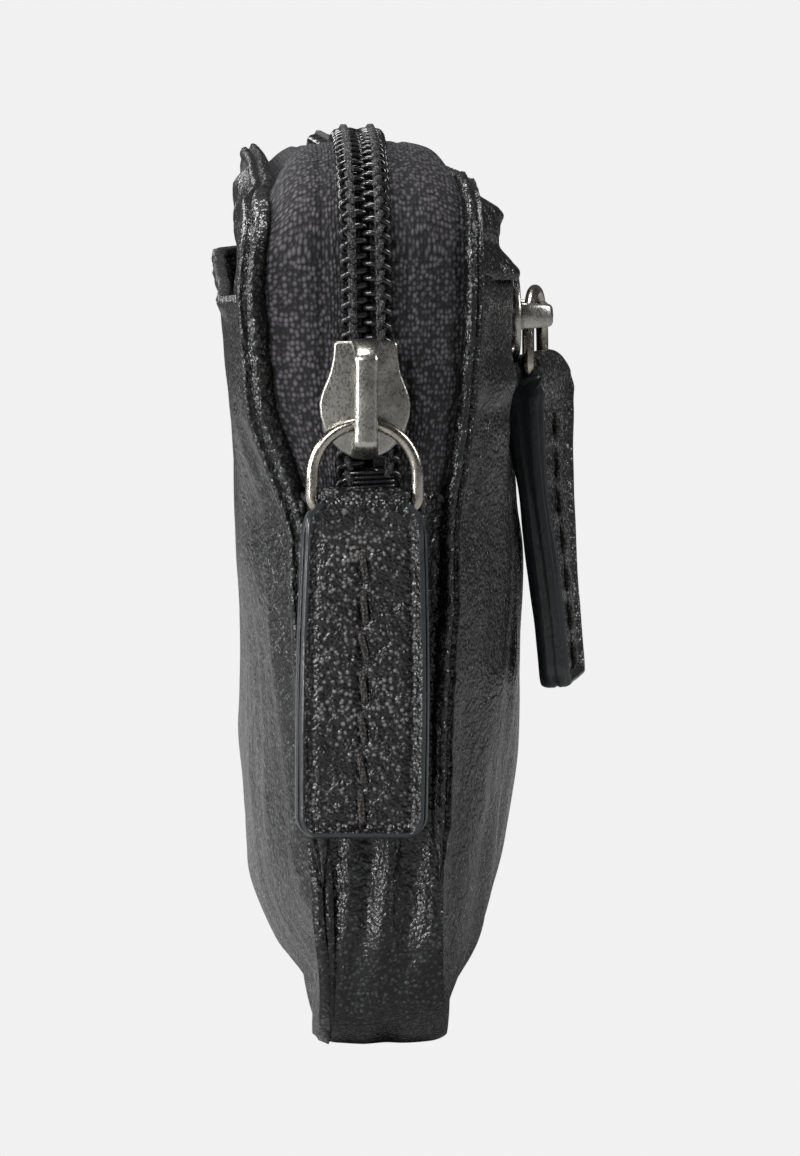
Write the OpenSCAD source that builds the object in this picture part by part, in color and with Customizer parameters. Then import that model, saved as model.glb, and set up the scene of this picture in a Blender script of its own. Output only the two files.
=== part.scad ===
// Zipped leather key case: panels and gusset sewn round a curved zip, a front zip pocket and a back slip pocket.
// Millimetres. +Z is up, X is the length, the front zip pocket faces -Y. The origin is the centre of the flat base.

/* [Case] */
// Length over the side seams
case_length = 117; // [105:1:130]
// Height of the top seams
seam_top = 78.5; // [73:0.5:84]
// Distance of the top seams from the middle plane
seam_half_width = 9.15; // [8.2:0.05:10.5]
// Length of the rounded top corner
corner_run = 15; // [12:0.5:20]
// Height of the rounded top corner
corner_rise = 7.4; // [6:0.2:9]
// Radius of the bottom corner
bottom_radius = 12; // [9:0.5:14]
// Thickness of the leather
leather = 1; // [0.8:0.05:1.1]
// Thickness of the linings
lining = 0.4; // [0.3:0.05:0.5]
// Gap between a lining and the leather
lining_gap = 0.12; // [0.1:0.01:0.2]
// How far the front pocket stands out of the seams
front_bulge = 8.4; // [8.2:0.1:9.2]
// How far the back panel stands out of the seams
back_bulge = 4.6; // [4:0.1:5]
// How far the slip pocket stands out of the seams
slip_bulge = 5.1; // [5:0.1:6]
// Height of the slip pocket's mouth
slip_mouth = 68.3; // [62.6:0.1:68.6]

/* [Edge binding] */
// Width of the folded edge along the seams
binding_width = 1.7; // [1.5:0.05:2]
// How far the folded edge stands out
binding_proud = 1; // [0.7:0.05:1.2]

/* [Main zip] */
// Sideways place of the main zip
zip_shift = 0.8; // [0:0.1:1]
// Height at which the gusset ends and the zip starts
zip_start = 50.6; // [48.6:0.5:52.6]
// Rise of the zip tape between the seams
tape_rise = 2.3; // [2:0.05:2.6]
// Thickness of the tape
tape = 0.5; // [0.4:0.05:0.6]
// Gap between the two rows of coil
coil_gap = 0.7; // [0.6:0.02:0.8]
// Width of one row of coil
coil_width = 2.15; // [2:0.05:2.3]
// Height of the coil over the tape
coil_height = 1.2; // [1.1:0.05:1.3]
// Pitch of the coil's turns
coil_pitch = 1.28; // [1.2:0.02:1.5]

/* [Front zip] */
// Height of the front zip
front_zip_z = 64.9; // [64.5:0.1:65.2]
// Distance of the front zip tape from the middle plane
front_zip_depth = 11.5; // [11.3:0.05:11.55]
// Distance from the last turn of the front zip to the end of the case
front_zip_end = 11.7; // [11.5:0.1:13]
// Gap between the front slider and the leather above and below it
front_lip_gap = 0.18; // [0.15:0.01:0.4]

/* [Slider] */
// Length of a slider
slider_length = 10.2; // [9.6:0.1:10.6]
// Width over the slider's shoulders
slider_width = 7.83; // [7.5:0.05:8]
// Thickness of the slider's plates
plate = 0.94; // [0.8:0.02:1]
// Running clearance of the slider
slider_clearance = 0.06; // [0.04:0.01:0.1]
// Width of the bridge
bridge_width = 2.23; // [2:0.05:2.3]
// Length of the main slider's bridge
bridge_length = 9.06; // [8.6:0.05:9.4]
// Length of the front slider's bridge
front_bridge_length = 7.6; // [7.5:0.05:7.7]
// Height of the bridge over the slider
bridge_height = 3; // [3:0.05:3.2]
// Thickness of the bridge's bar
bridge_bar = 1.2; // [1:0.05:1.2]
// Height of the main slider's middle
main_slider_z = 58.8; // [58.6:0.1:59.6]
// Distance of the front slider's middle from the first turn of its zip
front_slider_rest = 6.8; // [6.5:0.1:8]

/* [Pull ring] */
// Thickness of the ring's wire
wire = 1.2; // [1.1:0.02:1.22]
// Width of the ring over the wire
ring_width = 10.5; // [10.4:0.05:10.8]
// Height of the ring between wire centres
ring_height = 7.5; // [7:0.1:8]
// Radius of the ring's lower corners
ring_corner = 1.2; // [1.1:0.05:1.3]
// Turn of the front ring about the vertical
front_ring_turn = 12; // [11:0.5:13]

/* [Leather pull] */
// Width of the leather pull
pull_width = 11.4; // [11:0.1:12]
// Length of the leather pull under the ring's bar
pull_length = 28.6; // [26:0.1:30]
// Thickness of the two glued layers
pull_thickness = 2.2; // [2:0.05:2.3]
// Clearance of the ring's bar in the fold
pull_clearance = 0.08; // [0.05:0.01:0.1]
// Wall of leather round the bar
fold_wall = 0.7; // [0.65:0.01:0.75]
// Distance of the last stitch from the pull's end
stitch_margin = 1.5; // [1.2:0.1:1.5]
// Pitch of the stitches
stitch_pitch = 3.5; // [3:0.1:3.6]
// Thickness of the thread
thread = 0.5; // [0.4:0.02:0.6]
// Lean of the front pull on the pocket's belly
front_pull_lean = 4.5; // [4:0.5:6]

/* [Key ring] */
// Outside diameter of the split ring
split_ring = 24; // [22:0.5:25]
// Place of the key strap along the case
strap_x = 35; // [33:0.5:36]
// Width of the key strap
strap_width = 6; // [5:0.5:7]
// Thickness of the strap's leather
strap_leather = 1; // [0.8:0.05:1.1]

/* [Hidden] */
$fn = 48;

leather_black = "#2b2b2d";
tape_grey = "#37343a";
coil_black = "#161617";
nickel = "#8d8b83";
thread_grey = "#57534f";
lining_grey = "#4a4a4e";

seam_half = case_length / 2;
front_zip_run = seam_half - front_zip_end;
front_slider_x = front_slider_rest - front_zip_run;
overrun = 0.1;
front_panel_top = front_zip_z - slider_width / 2 - front_lip_gap;
front_facing_bottom = front_zip_z + slider_width / 2 + front_lip_gap;
seam_inset = binding_width - 0.3 * leather;
columns = 16;
corner_steps = 6;

// How the side seams spread with height: [share of seam_top, share of seam_half_width]
side_shares = [
    [0, 0.579], [0.186, 0.585], [0.288, 0.628], [0.415, 0.678], [0.517, 0.732], [0.606, 0.754],
    [0.689, 0.858], [0.747, 0.934], [0.797, 0.967], [0.912, 1], [1, 0.995]
];
// How the bulges grow and fade with height: [share of seam_top, share of the bulge]
front_bulge_shares = [
    [0, 0.06], [0.017, 0.1], [0.045, 0.25], [0.102, 0.66], [0.15, 0.8], [0.204, 0.905], [0.306, 0.995],
    [0.408, 0.99], [0.51, 0.92], [0.611, 0.825], [0.675, 0.675], [0.745, 0.57], [0.8, 0.53],
    [0.88, 0.54], [0.925, 0.41], [0.968, 0.285], [1, 0]
];
back_bulge_shares = [
    [0, 0.2], [0.076, 0.97], [0.179, 1], [0.307, 0.93], [0.435, 0.84], [0.564, 0.76], [0.693, 0.52],
    [0.808, 0.33], [0.922, 0.26], [0.967, 0.17], [1, 0]
];
slip_bulge_shares = [
    [0, 0.2], [0.04, 0.6], [0.076, 0.92], [0.179, 1], [0.307, 0.94], [0.435, 0.815], [0.564, 0.785],
    [0.693, 0.63], [0.808, 0.56], [0.866, 0.63], [1, 0.63]
];
// Heights of the rows between the bottom corner and the top, as shares of seam_top
row_shares = [0.2, 0.3, 0.42, 0.54, 0.64, 0.72, 0.79, 0.86];

function half_width(z) = seam_half_width * lookup(z / seam_top, side_shares);
function half_length(z, inset) =
    let (centre = seam_top - corner_rise, run = corner_run - inset, rise = corner_rise - inset,
         low = bottom_radius - inset)
    z > centre ? seam_half - corner_run + run * sqrt(max(0, 1 - pow((z - centre) / rise, 2)))
    : z < bottom_radius ? seam_half - bottom_radius + sqrt(max(0, low * low - pow(bottom_radius - z, 2)))
    : seam_half - inset;
function roundness(z) = 3.4 + 5.6 * min(1, pow(z / front_panel_top, 2));
function swell(x, z) = 1 - pow(min(1, abs(x) / half_length(z, 0)), roundness(z));
function front_skin(x, z) = half_width(z) + front_bulge * lookup(z / seam_top, front_bulge_shares) * swell(x, z);
function back_skin(x, z) = half_width(z) + back_bulge * lookup(z / seam_top, back_bulge_shares) * swell(x, z);
function slip_skin(x, z) =
    half_width(z) + leather + slip_bulge * lookup(z / seam_top, slip_bulge_shares) * swell(x, z);
partition_depth = front_zip_depth - tape - slider_clearance - plate;
// How the partition comes forward with height, to pass behind the front zip: [share of seam_top, share of its depth]
partition_shares = [
    [0, 0.48], [0.02, 0.49], [0.05, 0.61], [0.1, 0.82], [0.2, 0.86], [0.46, 0.88], [0.62, 0.95], [0.74, 1], [1, 1]
];
function partition_skin(x, z) =
    let (edge = half_width(z) - leather - lining_gap,
         depth = partition_depth * lookup(z / seam_top, partition_shares))
    edge + max(0, depth - edge) * swell(x, z) * min(1, (seam_top - z) / corner_rise);

// Heights of the rows of a panel from its bottom to its top edge
function rows(low, high, inset) =
    let (bottom = bottom_radius, top = seam_top - corner_rise, rise = corner_rise - inset,
         all = concat(
             [for (i = [0 : corner_steps]) bottom - (bottom - inset) * cos(90 * i / corner_steps)],
             [for (s = row_shares) s * seam_top],
             [for (i = [0 : corner_steps]) top + rise * sin(90 * i / corner_steps)]))
    concat([low], [for (z = all) if (z > low + lining && z < high - lining) z], [high]);

// A closed skin through rings of points that run anticlockwise about the way they are stacked.
// The first half of a ring runs out and the second half runs back beside it.
module loft(rings) {
    sides = len(rings[0]);
    last = (len(rings) - 1) * sides;
    polyhedron(
        points = [for (ring = rings) each ring],
        faces = concat(
            [for (j = [0 : sides / 2 - 2]) let (a = j, b = j + 1, c = sides - 2 - j, d = sides - 1 - j) each
                [[a, b, c], [a, c, d], [last + c, last + b, last + a], [last + d, last + c, last + a]]],
            [for (i = [0 : len(rings) - 2], j = [0 : sides - 1])
                let (p = i * sides + j, q = i * sides + (j + 1) % sides) each
                [[p, p + sides, q + sides], [p, q + sides, q]]]));
}

// A sheet between two surfaces y = near(x, z) and y = far(x, z)
module panel(low, high, inset, near, far) {
    loft([for (z = rows(low, high, inset))
        let (xs = [for (j = [0 : columns]) half_length(z, inset) * sin(180 * j / columns - 90)])
        concat(
            [for (x = xs) [x, near(x, z), z]],
            [for (j = [columns : -1 : 0]) [xs[j], far(xs[j], z), z]])]);
}

// The seam line in the X-Z plane, as [x, z, outward x, outward z]
function seam_corner(side, angle) =
    let (nx = corner_rise * cos(angle), nz = corner_run * sin(angle), n = norm([nx, nz]))
    [side * (seam_half - corner_run + corner_run * cos(angle)),
     seam_top - corner_rise + corner_rise * sin(angle), side * nx / n, nz / n];
function seam_upright(side, z) = [side * seam_half, z, side, 0];
function seam_low(side, angle) =
    [side * (seam_half - bottom_radius + bottom_radius * sin(angle)), bottom_radius * (1 - cos(angle)),
     side * sin(angle), -cos(angle)];
upright_shares = [0, 0.25, 0.5, 0.75];
function upright(side, low) =
    let (high = seam_top - corner_rise) [for (s = upright_shares) seam_upright(side, low + s * (high - low))];
function reverse(list) = [for (i = [len(list) - 1 : -1 : 0]) list[i]];
function over_top() =
    concat([for (i = [0 : corner_steps]) seam_corner(-1, 90 * i / corner_steps)],
           [for (i = [corner_steps : -1 : 0]) seam_corner(1, 90 * i / corner_steps)]);
function seam_path(low) = concat(upright(-1, low), over_top(), reverse(upright(1, low)));
function seam_point(p, out, y) = [p[0] + out * p[2], y, p[1] + out * p[3]];

// Rise of the tape over the seam at a distance from the zip's middle, flat where the slider runs
function dome(distance, half) =
    let (flat = slider_width / 2) 1 - pow(max(0, (distance - flat) / (half - flat)), 2);

module gusset() {
    color(leather_black) {
        linear_extrude(leather) polygon(base_outline(leather + lining_gap));
        gusset_end(-1, 0, leather, zip_start);
        gusset_end(1, 0, leather, zip_start);
    }
}

// Outline of the flat bottom, which widens towards the middle with the pockets
function base_outline(inset) =
    let (xs = [for (j = [0 : columns]) (half_length(0, 0) + overrun) * sin(180 * j / columns - 90)])
    concat([for (x = xs) [x, inset - front_skin(x, 0)]],
           [for (j = [columns : -1 : 0]) [xs[j], back_skin(xs[j], 0) - inset]]);

// One end of the gusset, from the bottom corner to the hem over the zip's end. A lining lies sunk under it and
// ends at its own top.
module gusset_end(side, sink, thick, top) {
    hem_share = [0, 0, 0.1, 0.45, 0.85, 1];
    last = len(hem_share) - 1;
    low = bottom_radius;
    hem_table = [for (i = [0 : last]) [low + (zip_start - low) * i / last, hem_share[i]]];
    path = concat([for (i = [0 : corner_steps]) concat(seam_low(side, 90 * i / corner_steps), 0)],
                  [for (i = [1 : last])
                      let (z = min(top, hem_table[i][0])) concat(seam_upright(side, z), lookup(z, hem_table))]);
    cover = tape + 2 * lining_gap;
    rings = [for (p = path)
        let (seam = half_width(p[1]) - seam_inset, half = seam - sink,
             all = [for (k = [0 : 8]) -seam + seam * k / 4],
             table = [for (y = all)
                 [y, p[4] * (leather + cover - tape
                     + tape_rise * dome(abs(y - zip_shift), max(seam + abs(zip_shift), slider_width)))]],
             ys = sink > 0 ? concat([-half], [for (k = [2 : 6]) all[k]], [half]) : all)
        concat([for (k = [len(ys) - 1 : -1 : 0]) seam_point(p, lookup(ys[k], table) - sink, ys[k])],
               [for (y = ys) seam_point(p, lookup(y, table) - sink - thick, y)])];
    loft(side < 0 ? rings : [for (ring = rings) reverse(ring)]);
}

module gusset_lining() {
    sink = leather + lining_gap;
    top = zip_start - 2 * tape - lining_gap;
    color(lining_grey) {
        translate([0, 0, sink]) linear_extrude(lining) polygon(base_outline(sink + leather));
        gusset_end(-1, sink, lining, top);
        gusset_end(1, sink, lining, top);
    }
}

module back_panel() {
    color(leather_black)
        panel(0, seam_top, 0, function (x, z) back_skin(x, z) - leather, function (x, z) back_skin(x, z));
}

module slip_pocket_panel() {
    color(leather_black)
        panel(0, slip_mouth, 0, function (x, z) slip_skin(x, z) - leather, function (x, z) slip_skin(x, z));
}

module front_lower_panel() {
    color(leather_black)
        panel(0, front_panel_top, 0, function (x, z) -front_skin(x, z), function (x, z) leather - front_skin(x, z));
}

module front_upper_facing() {
    color(leather_black)
        panel(front_facing_bottom, seam_top, 0, function (x, z) -front_skin(x, z),
              function (x, z) leather - front_skin(x, z));
}

lining_inset = leather + lining_gap;
partition_leather = 0.6 * leather;

module front_pocket_partition() {
    color(lining_grey)
        panel(lining_inset, seam_top - lining_inset, lining_inset, function (x, z) -partition_skin(x, z),
              function (x, z) partition_leather - partition_skin(x, z));
}

inner_inset = lining_inset + lining + lining_gap;

module main_lining_front() {
    behind = partition_leather + lining_gap;
    color(lining_grey)
        panel(inner_inset, seam_top - inner_inset, inner_inset,
              function (x, z) behind - partition_skin(x, z),
              function (x, z) behind + lining - partition_skin(x, z));
}

module main_lining_back() {
    behind = leather + lining_gap;
    color(lining_grey)
        panel(inner_inset, seam_top - inner_inset, inner_inset,
              function (x, z) back_skin(x, z) - behind - lining, function (x, z) back_skin(x, z) - behind);
}

// A folded edge that follows the side seams, outside them
module edge_binding(side, cover) {
    low_path = function (end) [for (i = [2 : corner_steps - 1]) seam_low(end, 90 * i / corner_steps)];
    path = concat(low_path(-1), [seam_upright(-1, bottom_radius), seam_upright(-1, zip_start * 0.7)],
                  seam_path(zip_start), [seam_upright(1, zip_start * 0.7), seam_upright(1, bottom_radius)],
                  reverse(low_path(1)));
    loft([for (p = path)
        let (inner = half_width(p[1]) - seam_inset, outer = half_width(p[1]) + cover,
             section = [[0, inner], [0.7, inner], [1, inner + 0.3 * binding_width],
                        [1, outer - 0.3 * binding_width], [0.7, outer], [0, outer]],
             ring = [for (s = section) seam_point(p, s[0] * binding_proud, side * s[1])])
        side > 0 ? reverse(ring) : ring]);
}

module front_edge_binding() {
    color(leather_black) edge_binding(-1, binding_width - seam_inset);
}

module back_edge_binding() {
    color(leather_black) edge_binding(1, leather + lining_gap);
}

// Half of the main zip's tape, from the coil to under the edge binding
module main_tape(side) {
    loft([for (p = seam_path(zip_start - 2 * tape))
        let (edge = half_width(p[1]) - leather - lining_gap, half = half_width(p[1]) - seam_inset - side * zip_shift,
             reach = concat([coil_gap / 2, slider_width / 2],
                            [for (s = [0.25, 0.5, 0.75, 0.9]) slider_width / 2 + s * (half - slider_width / 2)]),
             outs = concat([for (r = reach) tape_rise * dome(r, half)], [-lining_gap, -lining_gap]),
             ys = concat([for (r = reach) zip_shift + side * r],
                         [side * (half_width(p[1]) - seam_inset - lining_gap), side * edge]),
             ring = concat([for (k = [0 : len(ys) - 1]) seam_point(p, outs[k], ys[k])],
                           [for (k = [len(ys) - 1 : -1 : 0]) seam_point(p, outs[k] - tape, ys[k])]))
        side < 0 ? ring : reverse(ring)]);
}

module main_zip_tape_back() {
    color(tape_grey) main_tape(1);
}

module main_zip_tape_front() {
    color(tape_grey) main_tape(-1);
}

// Length along the top corner at the coil, as [length, angle]
coil_steps = 36;
coil_line = tape_rise + coil_height / 2;
function coil_at(angle) = let (p = seam_corner(1, angle)) [p[0] + coil_line * p[2], p[1] + coil_line * p[3]];
function corner_lengths(i, total) =
    i > coil_steps ? []
    : let (here = i == 0 ? 0 : total + norm(coil_at(90 * i / coil_steps) - coil_at(90 * (i - 1) / coil_steps)))
      concat([[here, 90 * i / coil_steps]], corner_lengths(i + 1, here));
corner_table = corner_lengths(0, 0);
corner_length = corner_table[coil_steps][0];
upright_length = seam_top - corner_rise - zip_start;
top_half_length = seam_half - corner_run;
chain_half = upright_length + corner_length + top_half_length;

// A point of the seam line at a distance along the coil from the middle of the top
function chain_point(s) =
    let (side = s < 0 ? -1 : 1, d = abs(s))
    d < top_half_length ? [side * d, seam_top, 0, 1]
    : d < top_half_length + corner_length
      ? seam_corner(side, lookup(top_half_length + corner_length - d, corner_table))
      : seam_upright(side, seam_top - corner_rise - (d - top_half_length - corner_length));

crest_share = 0.28;
valley_share = 0.7;

module main_coil(side, phase) {
    turns = floor(2 * chain_half / coil_pitch) - 1;
    start = -turns * coil_pitch / 2;
    crest = tape_rise + coil_height;
    valley = tape_rise + valley_share * coil_height;
    outer = [for (i = [0 : turns - 1]) let (s = start + (i + phase) * coil_pitch) each [
        let (p = chain_point(s)) [p[0] + valley * p[2], p[1] + valley * p[3]],
        let (p = chain_point(s + crest_share * coil_pitch)) [p[0] + crest * p[2], p[1] + crest * p[3]],
        let (p = chain_point(s + (1 - crest_share) * coil_pitch)) [p[0] + crest * p[2], p[1] + crest * p[3]]]];
    inner = [for (i = [0 : turns - 1])
        let (p = chain_point(start + (i + phase) * coil_pitch)) [p[0] + tape_rise * p[2], p[1] + tape_rise * p[3]]];
    translate([0, zip_shift + (side > 0 ? coil_gap / 2 + coil_width : -coil_gap / 2), 0])
        rotate([90, 0, 0])
            linear_extrude(coil_width) polygon(concat(outer, reverse(inner)));
}

module main_zip_coil_back() {
    color(coil_black) main_coil(1, 0);
}

module main_zip_coil_front() {
    color(coil_black) main_coil(-1, 0.5);
}

stop_height = 1.6;
stop_wall = 0.35;

// A clip pressed over both rows of coil, drawn across the zip with its length along Z
module zip_stop() {
    inner = coil_gap / 2 + coil_width + slider_clearance;
    outer = inner + stop_wall;
    top = coil_height + slider_clearance;
    difference() {
        translate([-outer, -top - stop_wall, 0]) cube([2 * outer, top + stop_wall - slider_clearance, stop_height]);
        translate([-inner, -top, -stop_height]) cube([2 * inner, 2 * top, 3 * stop_height]);
    }
}

stop_seat = 0.6;
stop_z = zip_start + stop_seat;

module main_zip_stops() {
    color(nickel) {
        translate([-seam_half - tape_rise, zip_shift, stop_z]) rotate([0, 0, -90]) zip_stop();
        translate([seam_half + tape_rise, zip_shift, stop_z]) rotate([0, 0, 90]) zip_stop();
    }
}

// Half of the front zip's tape, straight where the slider runs and curved into the seams at its ends
module front_tape(low, high) {
    bend_shares = [0, 0.25, 0.5, 0.75, 1];
    end = half_length(front_zip_z, lining_inset) - 1.5 * leather;
    bend = [for (s = bend_shares) front_zip_run + s * (end - front_zip_run)];
    xs = concat([for (i = [len(bend) - 1 : -1 : 0]) -bend[i]], bend);
    skin = function (x, z) min(front_zip_depth, front_skin(x, z) - leather - lining_gap);
    count = len(xs);
    loft([for (z = [low, (low + high) / 2, high])
        concat([for (x = xs) [x, -skin(x, z), z]],
               [for (i = [count - 1 : -1 : 0]) [xs[i], tape - skin(xs[i], z), z]])]);
}

front_tape_half = 6.2;

module front_zip_tape_upper() {
    color(tape_grey) front_tape(front_zip_z + coil_gap / 2, front_zip_z + front_tape_half);
}

module front_zip_tape_lower() {
    color(tape_grey) front_tape(front_zip_z - front_tape_half, front_zip_z - coil_gap / 2);
}

module front_coil(side, phase) {
    turns = floor(2 * front_zip_run / coil_pitch) - 1;
    start = -turns * coil_pitch / 2;
    outer = [for (i = [0 : turns - 1]) let (x = start + (i + phase - 0.25) * coil_pitch) each [
        [x, -valley_share * coil_height], [x + crest_share * coil_pitch, -coil_height],
        [x + (1 - crest_share) * coil_pitch, -coil_height]]];
    last = start + (turns - 1 + phase - 0.25) * coil_pitch;
    translate([0, -front_zip_depth, front_zip_z + (side > 0 ? coil_gap / 2 : -coil_gap / 2 - coil_width)])
        linear_extrude(coil_width) polygon(concat(outer, [[last + coil_pitch, 0], [outer[0][0], 0]]));
}

module front_zip_coil_upper() {
    color(coil_black) front_coil(1, 0);
}

module front_zip_coil_lower() {
    color(coil_black) front_coil(-1, 0.5);
}

module front_zip_stops() {
    reach = front_zip_run;
    color(nickel)
        for (x = [-reach, reach - stop_height])
            translate([x, -front_zip_depth, front_zip_z]) rotate([0, 90, 0]) zip_stop();
}

// A stitch that lies flat on a face, drawn along Z with its flat side towards +Y
module stitch(length) {
    difference() {
        cylinder(d = thread, h = length);
        translate([-thread, 0, -length]) cube([2 * thread, thread, 3 * length]);
    }
}

hem_stitch_drop = 1.2;
hem_stitch_z = zip_start - hem_stitch_drop;

// Stitches across both gusset hems, on each side of the zip's end
module hem_stitches() {
    stitch_length = 0.6 * stitch_pitch;
    out = seam_half + tape_rise + leather + 2 * lining_gap;
    color(thread_grey)
        for (side = [-1, 1], k = [-1, 0, 1])
            translate([side * out, zip_shift + (k + 0.5) * stitch_pitch - stitch_length / 2, hem_stitch_z])
                rotate([-90, 0, 0]) rotate([0, 0, side * 90]) translate([0, 0, -stitch_length / 2])
                    stitch(stitch_length);
}

// Key strap: two layers that hang from the top seam and fold round the key ring
ring_wire = 1.5;
ring_wall = 0.8 * ring_wire;
ring_radius = split_ring / 2 - ring_wire / 2;
strap_bore = 4.4;
strap_outer = strap_bore + 2 * strap_leather;
strap_back = back_skin(0, seam_top * 0.9) - leather - lining - 5 * lining_gap;
strap_y = strap_back - strap_outer / 2;
strap_z = 60.6;
strap_top = seam_top - leather - 4 * lining_gap;
rivet_z = 69.1;
rivet_shank = 2.4;
rivet_head = 4.4;

module key_strap() {
    color(leather_black)
        difference() {
            union() {
                translate([strap_x - strap_width / 2, strap_y, strap_z])
                    rotate([0, 90, 0]) cylinder(d = strap_outer, h = strap_width);
                translate([strap_x - strap_width / 2, strap_back - 2 * strap_leather, strap_z])
                    cube([strap_width, 2 * strap_leather, strap_top - strap_z - 3 * leather]);
            }
            translate([strap_x - strap_width, strap_y, strap_z])
                rotate([0, 90, 0]) cylinder(d = strap_bore, h = 2 * strap_width);
            translate([strap_x, strap_back + strap_leather, rivet_z])
                rotate([90, 0, 0]) cylinder(d = rivet_shank, h = 4 * strap_leather);
        }
}

module key_strap_rivet() {
    head = 0.25 * rivet_head;
    shank = 2 * strap_leather;
    color(nickel) translate([strap_x, strap_back, rivet_z]) rotate([90, 0, 0]) {
        cylinder(d = rivet_shank, h = shank);
        translate([0, 0, shank]) cylinder(d = rivet_head, h = head);
    }
}

// Two stacked turns of flat wire that hang in the strap's fold
module key_split_ring() {
    bore = strap_bore / 2;
    inside = ring_radius - ring_wire / 2;
    sag = inside - sqrt(inside * inside - strap_width * strap_width / 4);
    hang = strap_z - sqrt(bore * bore - ring_wall * ring_wall) + sag + ring_wire + lining_gap;
    color(nickel)
        translate([strap_x, strap_y, hang - split_ring / 2])
            rotate([90, 0, 0])
                rotate_extrude($fn = 96)
                    translate([ring_radius, 0]) square([ring_wire, 2 * ring_wall], center = true);
}

// Slider in its own frame: length along Z with the narrow end up, outside towards -Y, y = 0 on the tape
crown_shares = [
    [0.69, 1], [0.69, 0.78], [0.8, 0.45], [1, 0.05], [1, -0.1], [0.9, -0.3], [0.9, -0.75], [0.7, -0.93],
    [0.35, -1]
];
function crown_outline(width, length) =
    concat([for (s = crown_shares) [s[0] * width / 2, s[1] * length / 2]],
           [for (i = [len(crown_shares) - 1 : -1 : 0])
               [-crown_shares[i][0] * width / 2, crown_shares[i][1] * length / 2]]);

crown_under = coil_height + slider_clearance;
crown_top = crown_under + plate;
flange = 0.8;
post = 0.44;

module slider_body() {
    flange_at = coil_gap / 2 + coil_width + slider_clearance;
    flange_length = 0.72 * slider_length;
    under = tape + slider_clearance;
    lower = 2 * (flange_at + flange);
    // crown
    translate([0, -crown_under, 0]) rotate([90, 0, 0])
        linear_extrude(plate) polygon(crown_outline(slider_width, slider_length));
    // side flanges
    for (side = [-1, 1])
        translate([side > 0 ? flange_at : -flange_at - flange, -crown_under - plate / 2, -0.42 * slider_length])
            cube([flange, crown_under + plate / 2 - slider_clearance, flange_length]);
    // divider between the rows
    translate([-post / 2, -crown_under - plate / 2, -0.4 * slider_length])
        cube([post, crown_under + plate + under, 0.4 * slider_length]);
    // lower plate
    translate([0, under + 0.75 * plate, 0]) rotate([90, 0, 0])
        linear_extrude(0.75 * plate) polygon(crown_outline(lower, slider_length));
}

bridge_foot = 1.25;

// Arched bridge over the slider that holds the ring
module slider_bridge(length) {
    foot = bridge_foot;
    chamfer = 0.3 * bridge_bar;
    half = length / 2;
    top = bridge_height;
    translate([-bridge_width / 2, -crown_top, 0]) rotate([0, 90, 0]) rotate([0, 0, 90])
        linear_extrude(bridge_width) difference() {
            polygon([[0, -half], [chamfer - top, -half], [-top, chamfer - half], [-top, half - chamfer],
                     [chamfer - top, half], [0, half]]);
            polygon([[bridge_bar, foot - half], [bridge_bar - top, foot - half],
                     [bridge_bar - top, half - foot], [bridge_bar, half - foot]]);
        }
}

// Ring in its own frame: hangs from the origin in the X-Z plane, bar at the bottom
ring_half = (ring_width - wire) / 2;

module wire_arc(radius, from, turn) {
    rotate([90, 0, 0]) rotate([0, 0, from])
        rotate_extrude(angle = turn) translate([radius, 0]) circle(d = wire, $fn = 24);
}

module pull_ring() {
    leg = ring_height - ring_half - ring_corner;
    bar = 2 * (ring_half - ring_corner);
    translate([0, 0, -ring_half]) wire_arc(ring_half, 0, 180);
    for (side = [-1, 1]) {
        translate([side * ring_half, 0, -ring_half - leg]) cylinder(d = wire, h = leg, $fn = 24);
        translate([side * (ring_half - ring_corner), 0, -ring_half - leg])
            wire_arc(ring_corner, side > 0 ? -90 : 180, 90);
    }
    translate([-bar / 2, 0, -ring_height]) rotate([0, 90, 0]) cylinder(d = wire, h = bar, $fn = 24);
}

// Leather pull in its own frame: the ring's bar runs through the origin along X, outside towards -Y
bore_radius = wire / 2 + pull_clearance;
fold_radius = bore_radius + fold_wall;
neck_half = ring_half - ring_corner - pull_clearance;
pull_corner = 2;
pull_outline_shares = [[0.86, 0.1], [1, 0.2]];

// One side of the pull's outline, from its neck down to its rounded corner
function pull_edge(side) =
    let (half = pull_width / 2)
    concat([[side * neck_half, 2 * fold_radius], [side * neck_half, -wire]],
           [for (s = pull_outline_shares) [side * s[0] * half, -s[1] * pull_length]],
           [for (angle = [0 : 15 : 90])
               [side * (half - pull_corner + pull_corner * cos(angle)),
                pull_corner - pull_length - pull_corner * sin(angle)]]);

module pull_leather() {
    thick = pull_thickness / 2;
    intersection() {
        rotate([90, 0, 90]) translate([0, 0, -pull_width])
            linear_extrude(2 * pull_width) difference() {
                union() {
                    circle(r = fold_radius);
                    polygon([[-fold_radius, 0], [-thick, -0.13 * pull_length], [-thick, -pull_length],
                             [thick, -pull_length], [thick, -0.13 * pull_length], [fold_radius, 0]]);
                }
                circle(r = bore_radius);
            }
        rotate([90, 0, 0]) translate([0, 0, -pull_width])
            linear_extrude(2 * pull_width) polygon(concat(pull_edge(1), reverse(pull_edge(-1))));
    }
}

fold_room = 2 * fold_radius - thread / 2;
pull_stitches = floor((pull_length - stitch_margin - fold_room) / stitch_pitch);

module pull_stitching() {
    length = 0.75 * stitch_pitch;
    first = pull_length - stitch_margin - (pull_stitches - 1) * stitch_pitch - length;
    for (face = [-1, 1], k = [0 : pull_stitches - 1])
        translate([0, face * pull_thickness / 2, -first - k * stitch_pitch - length])
            rotate([0, 0, face < 0 ? 0 : 180]) stitch(length);
}

main_ring_out = crown_top + (bridge_height - bridge_bar) / 2;
main_ring_rise = -1.9;

module at_main_slider() {
    translate([-seam_half - tape_rise, zip_shift, main_slider_z]) rotate([0, 0, -90]) children();
}

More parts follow.
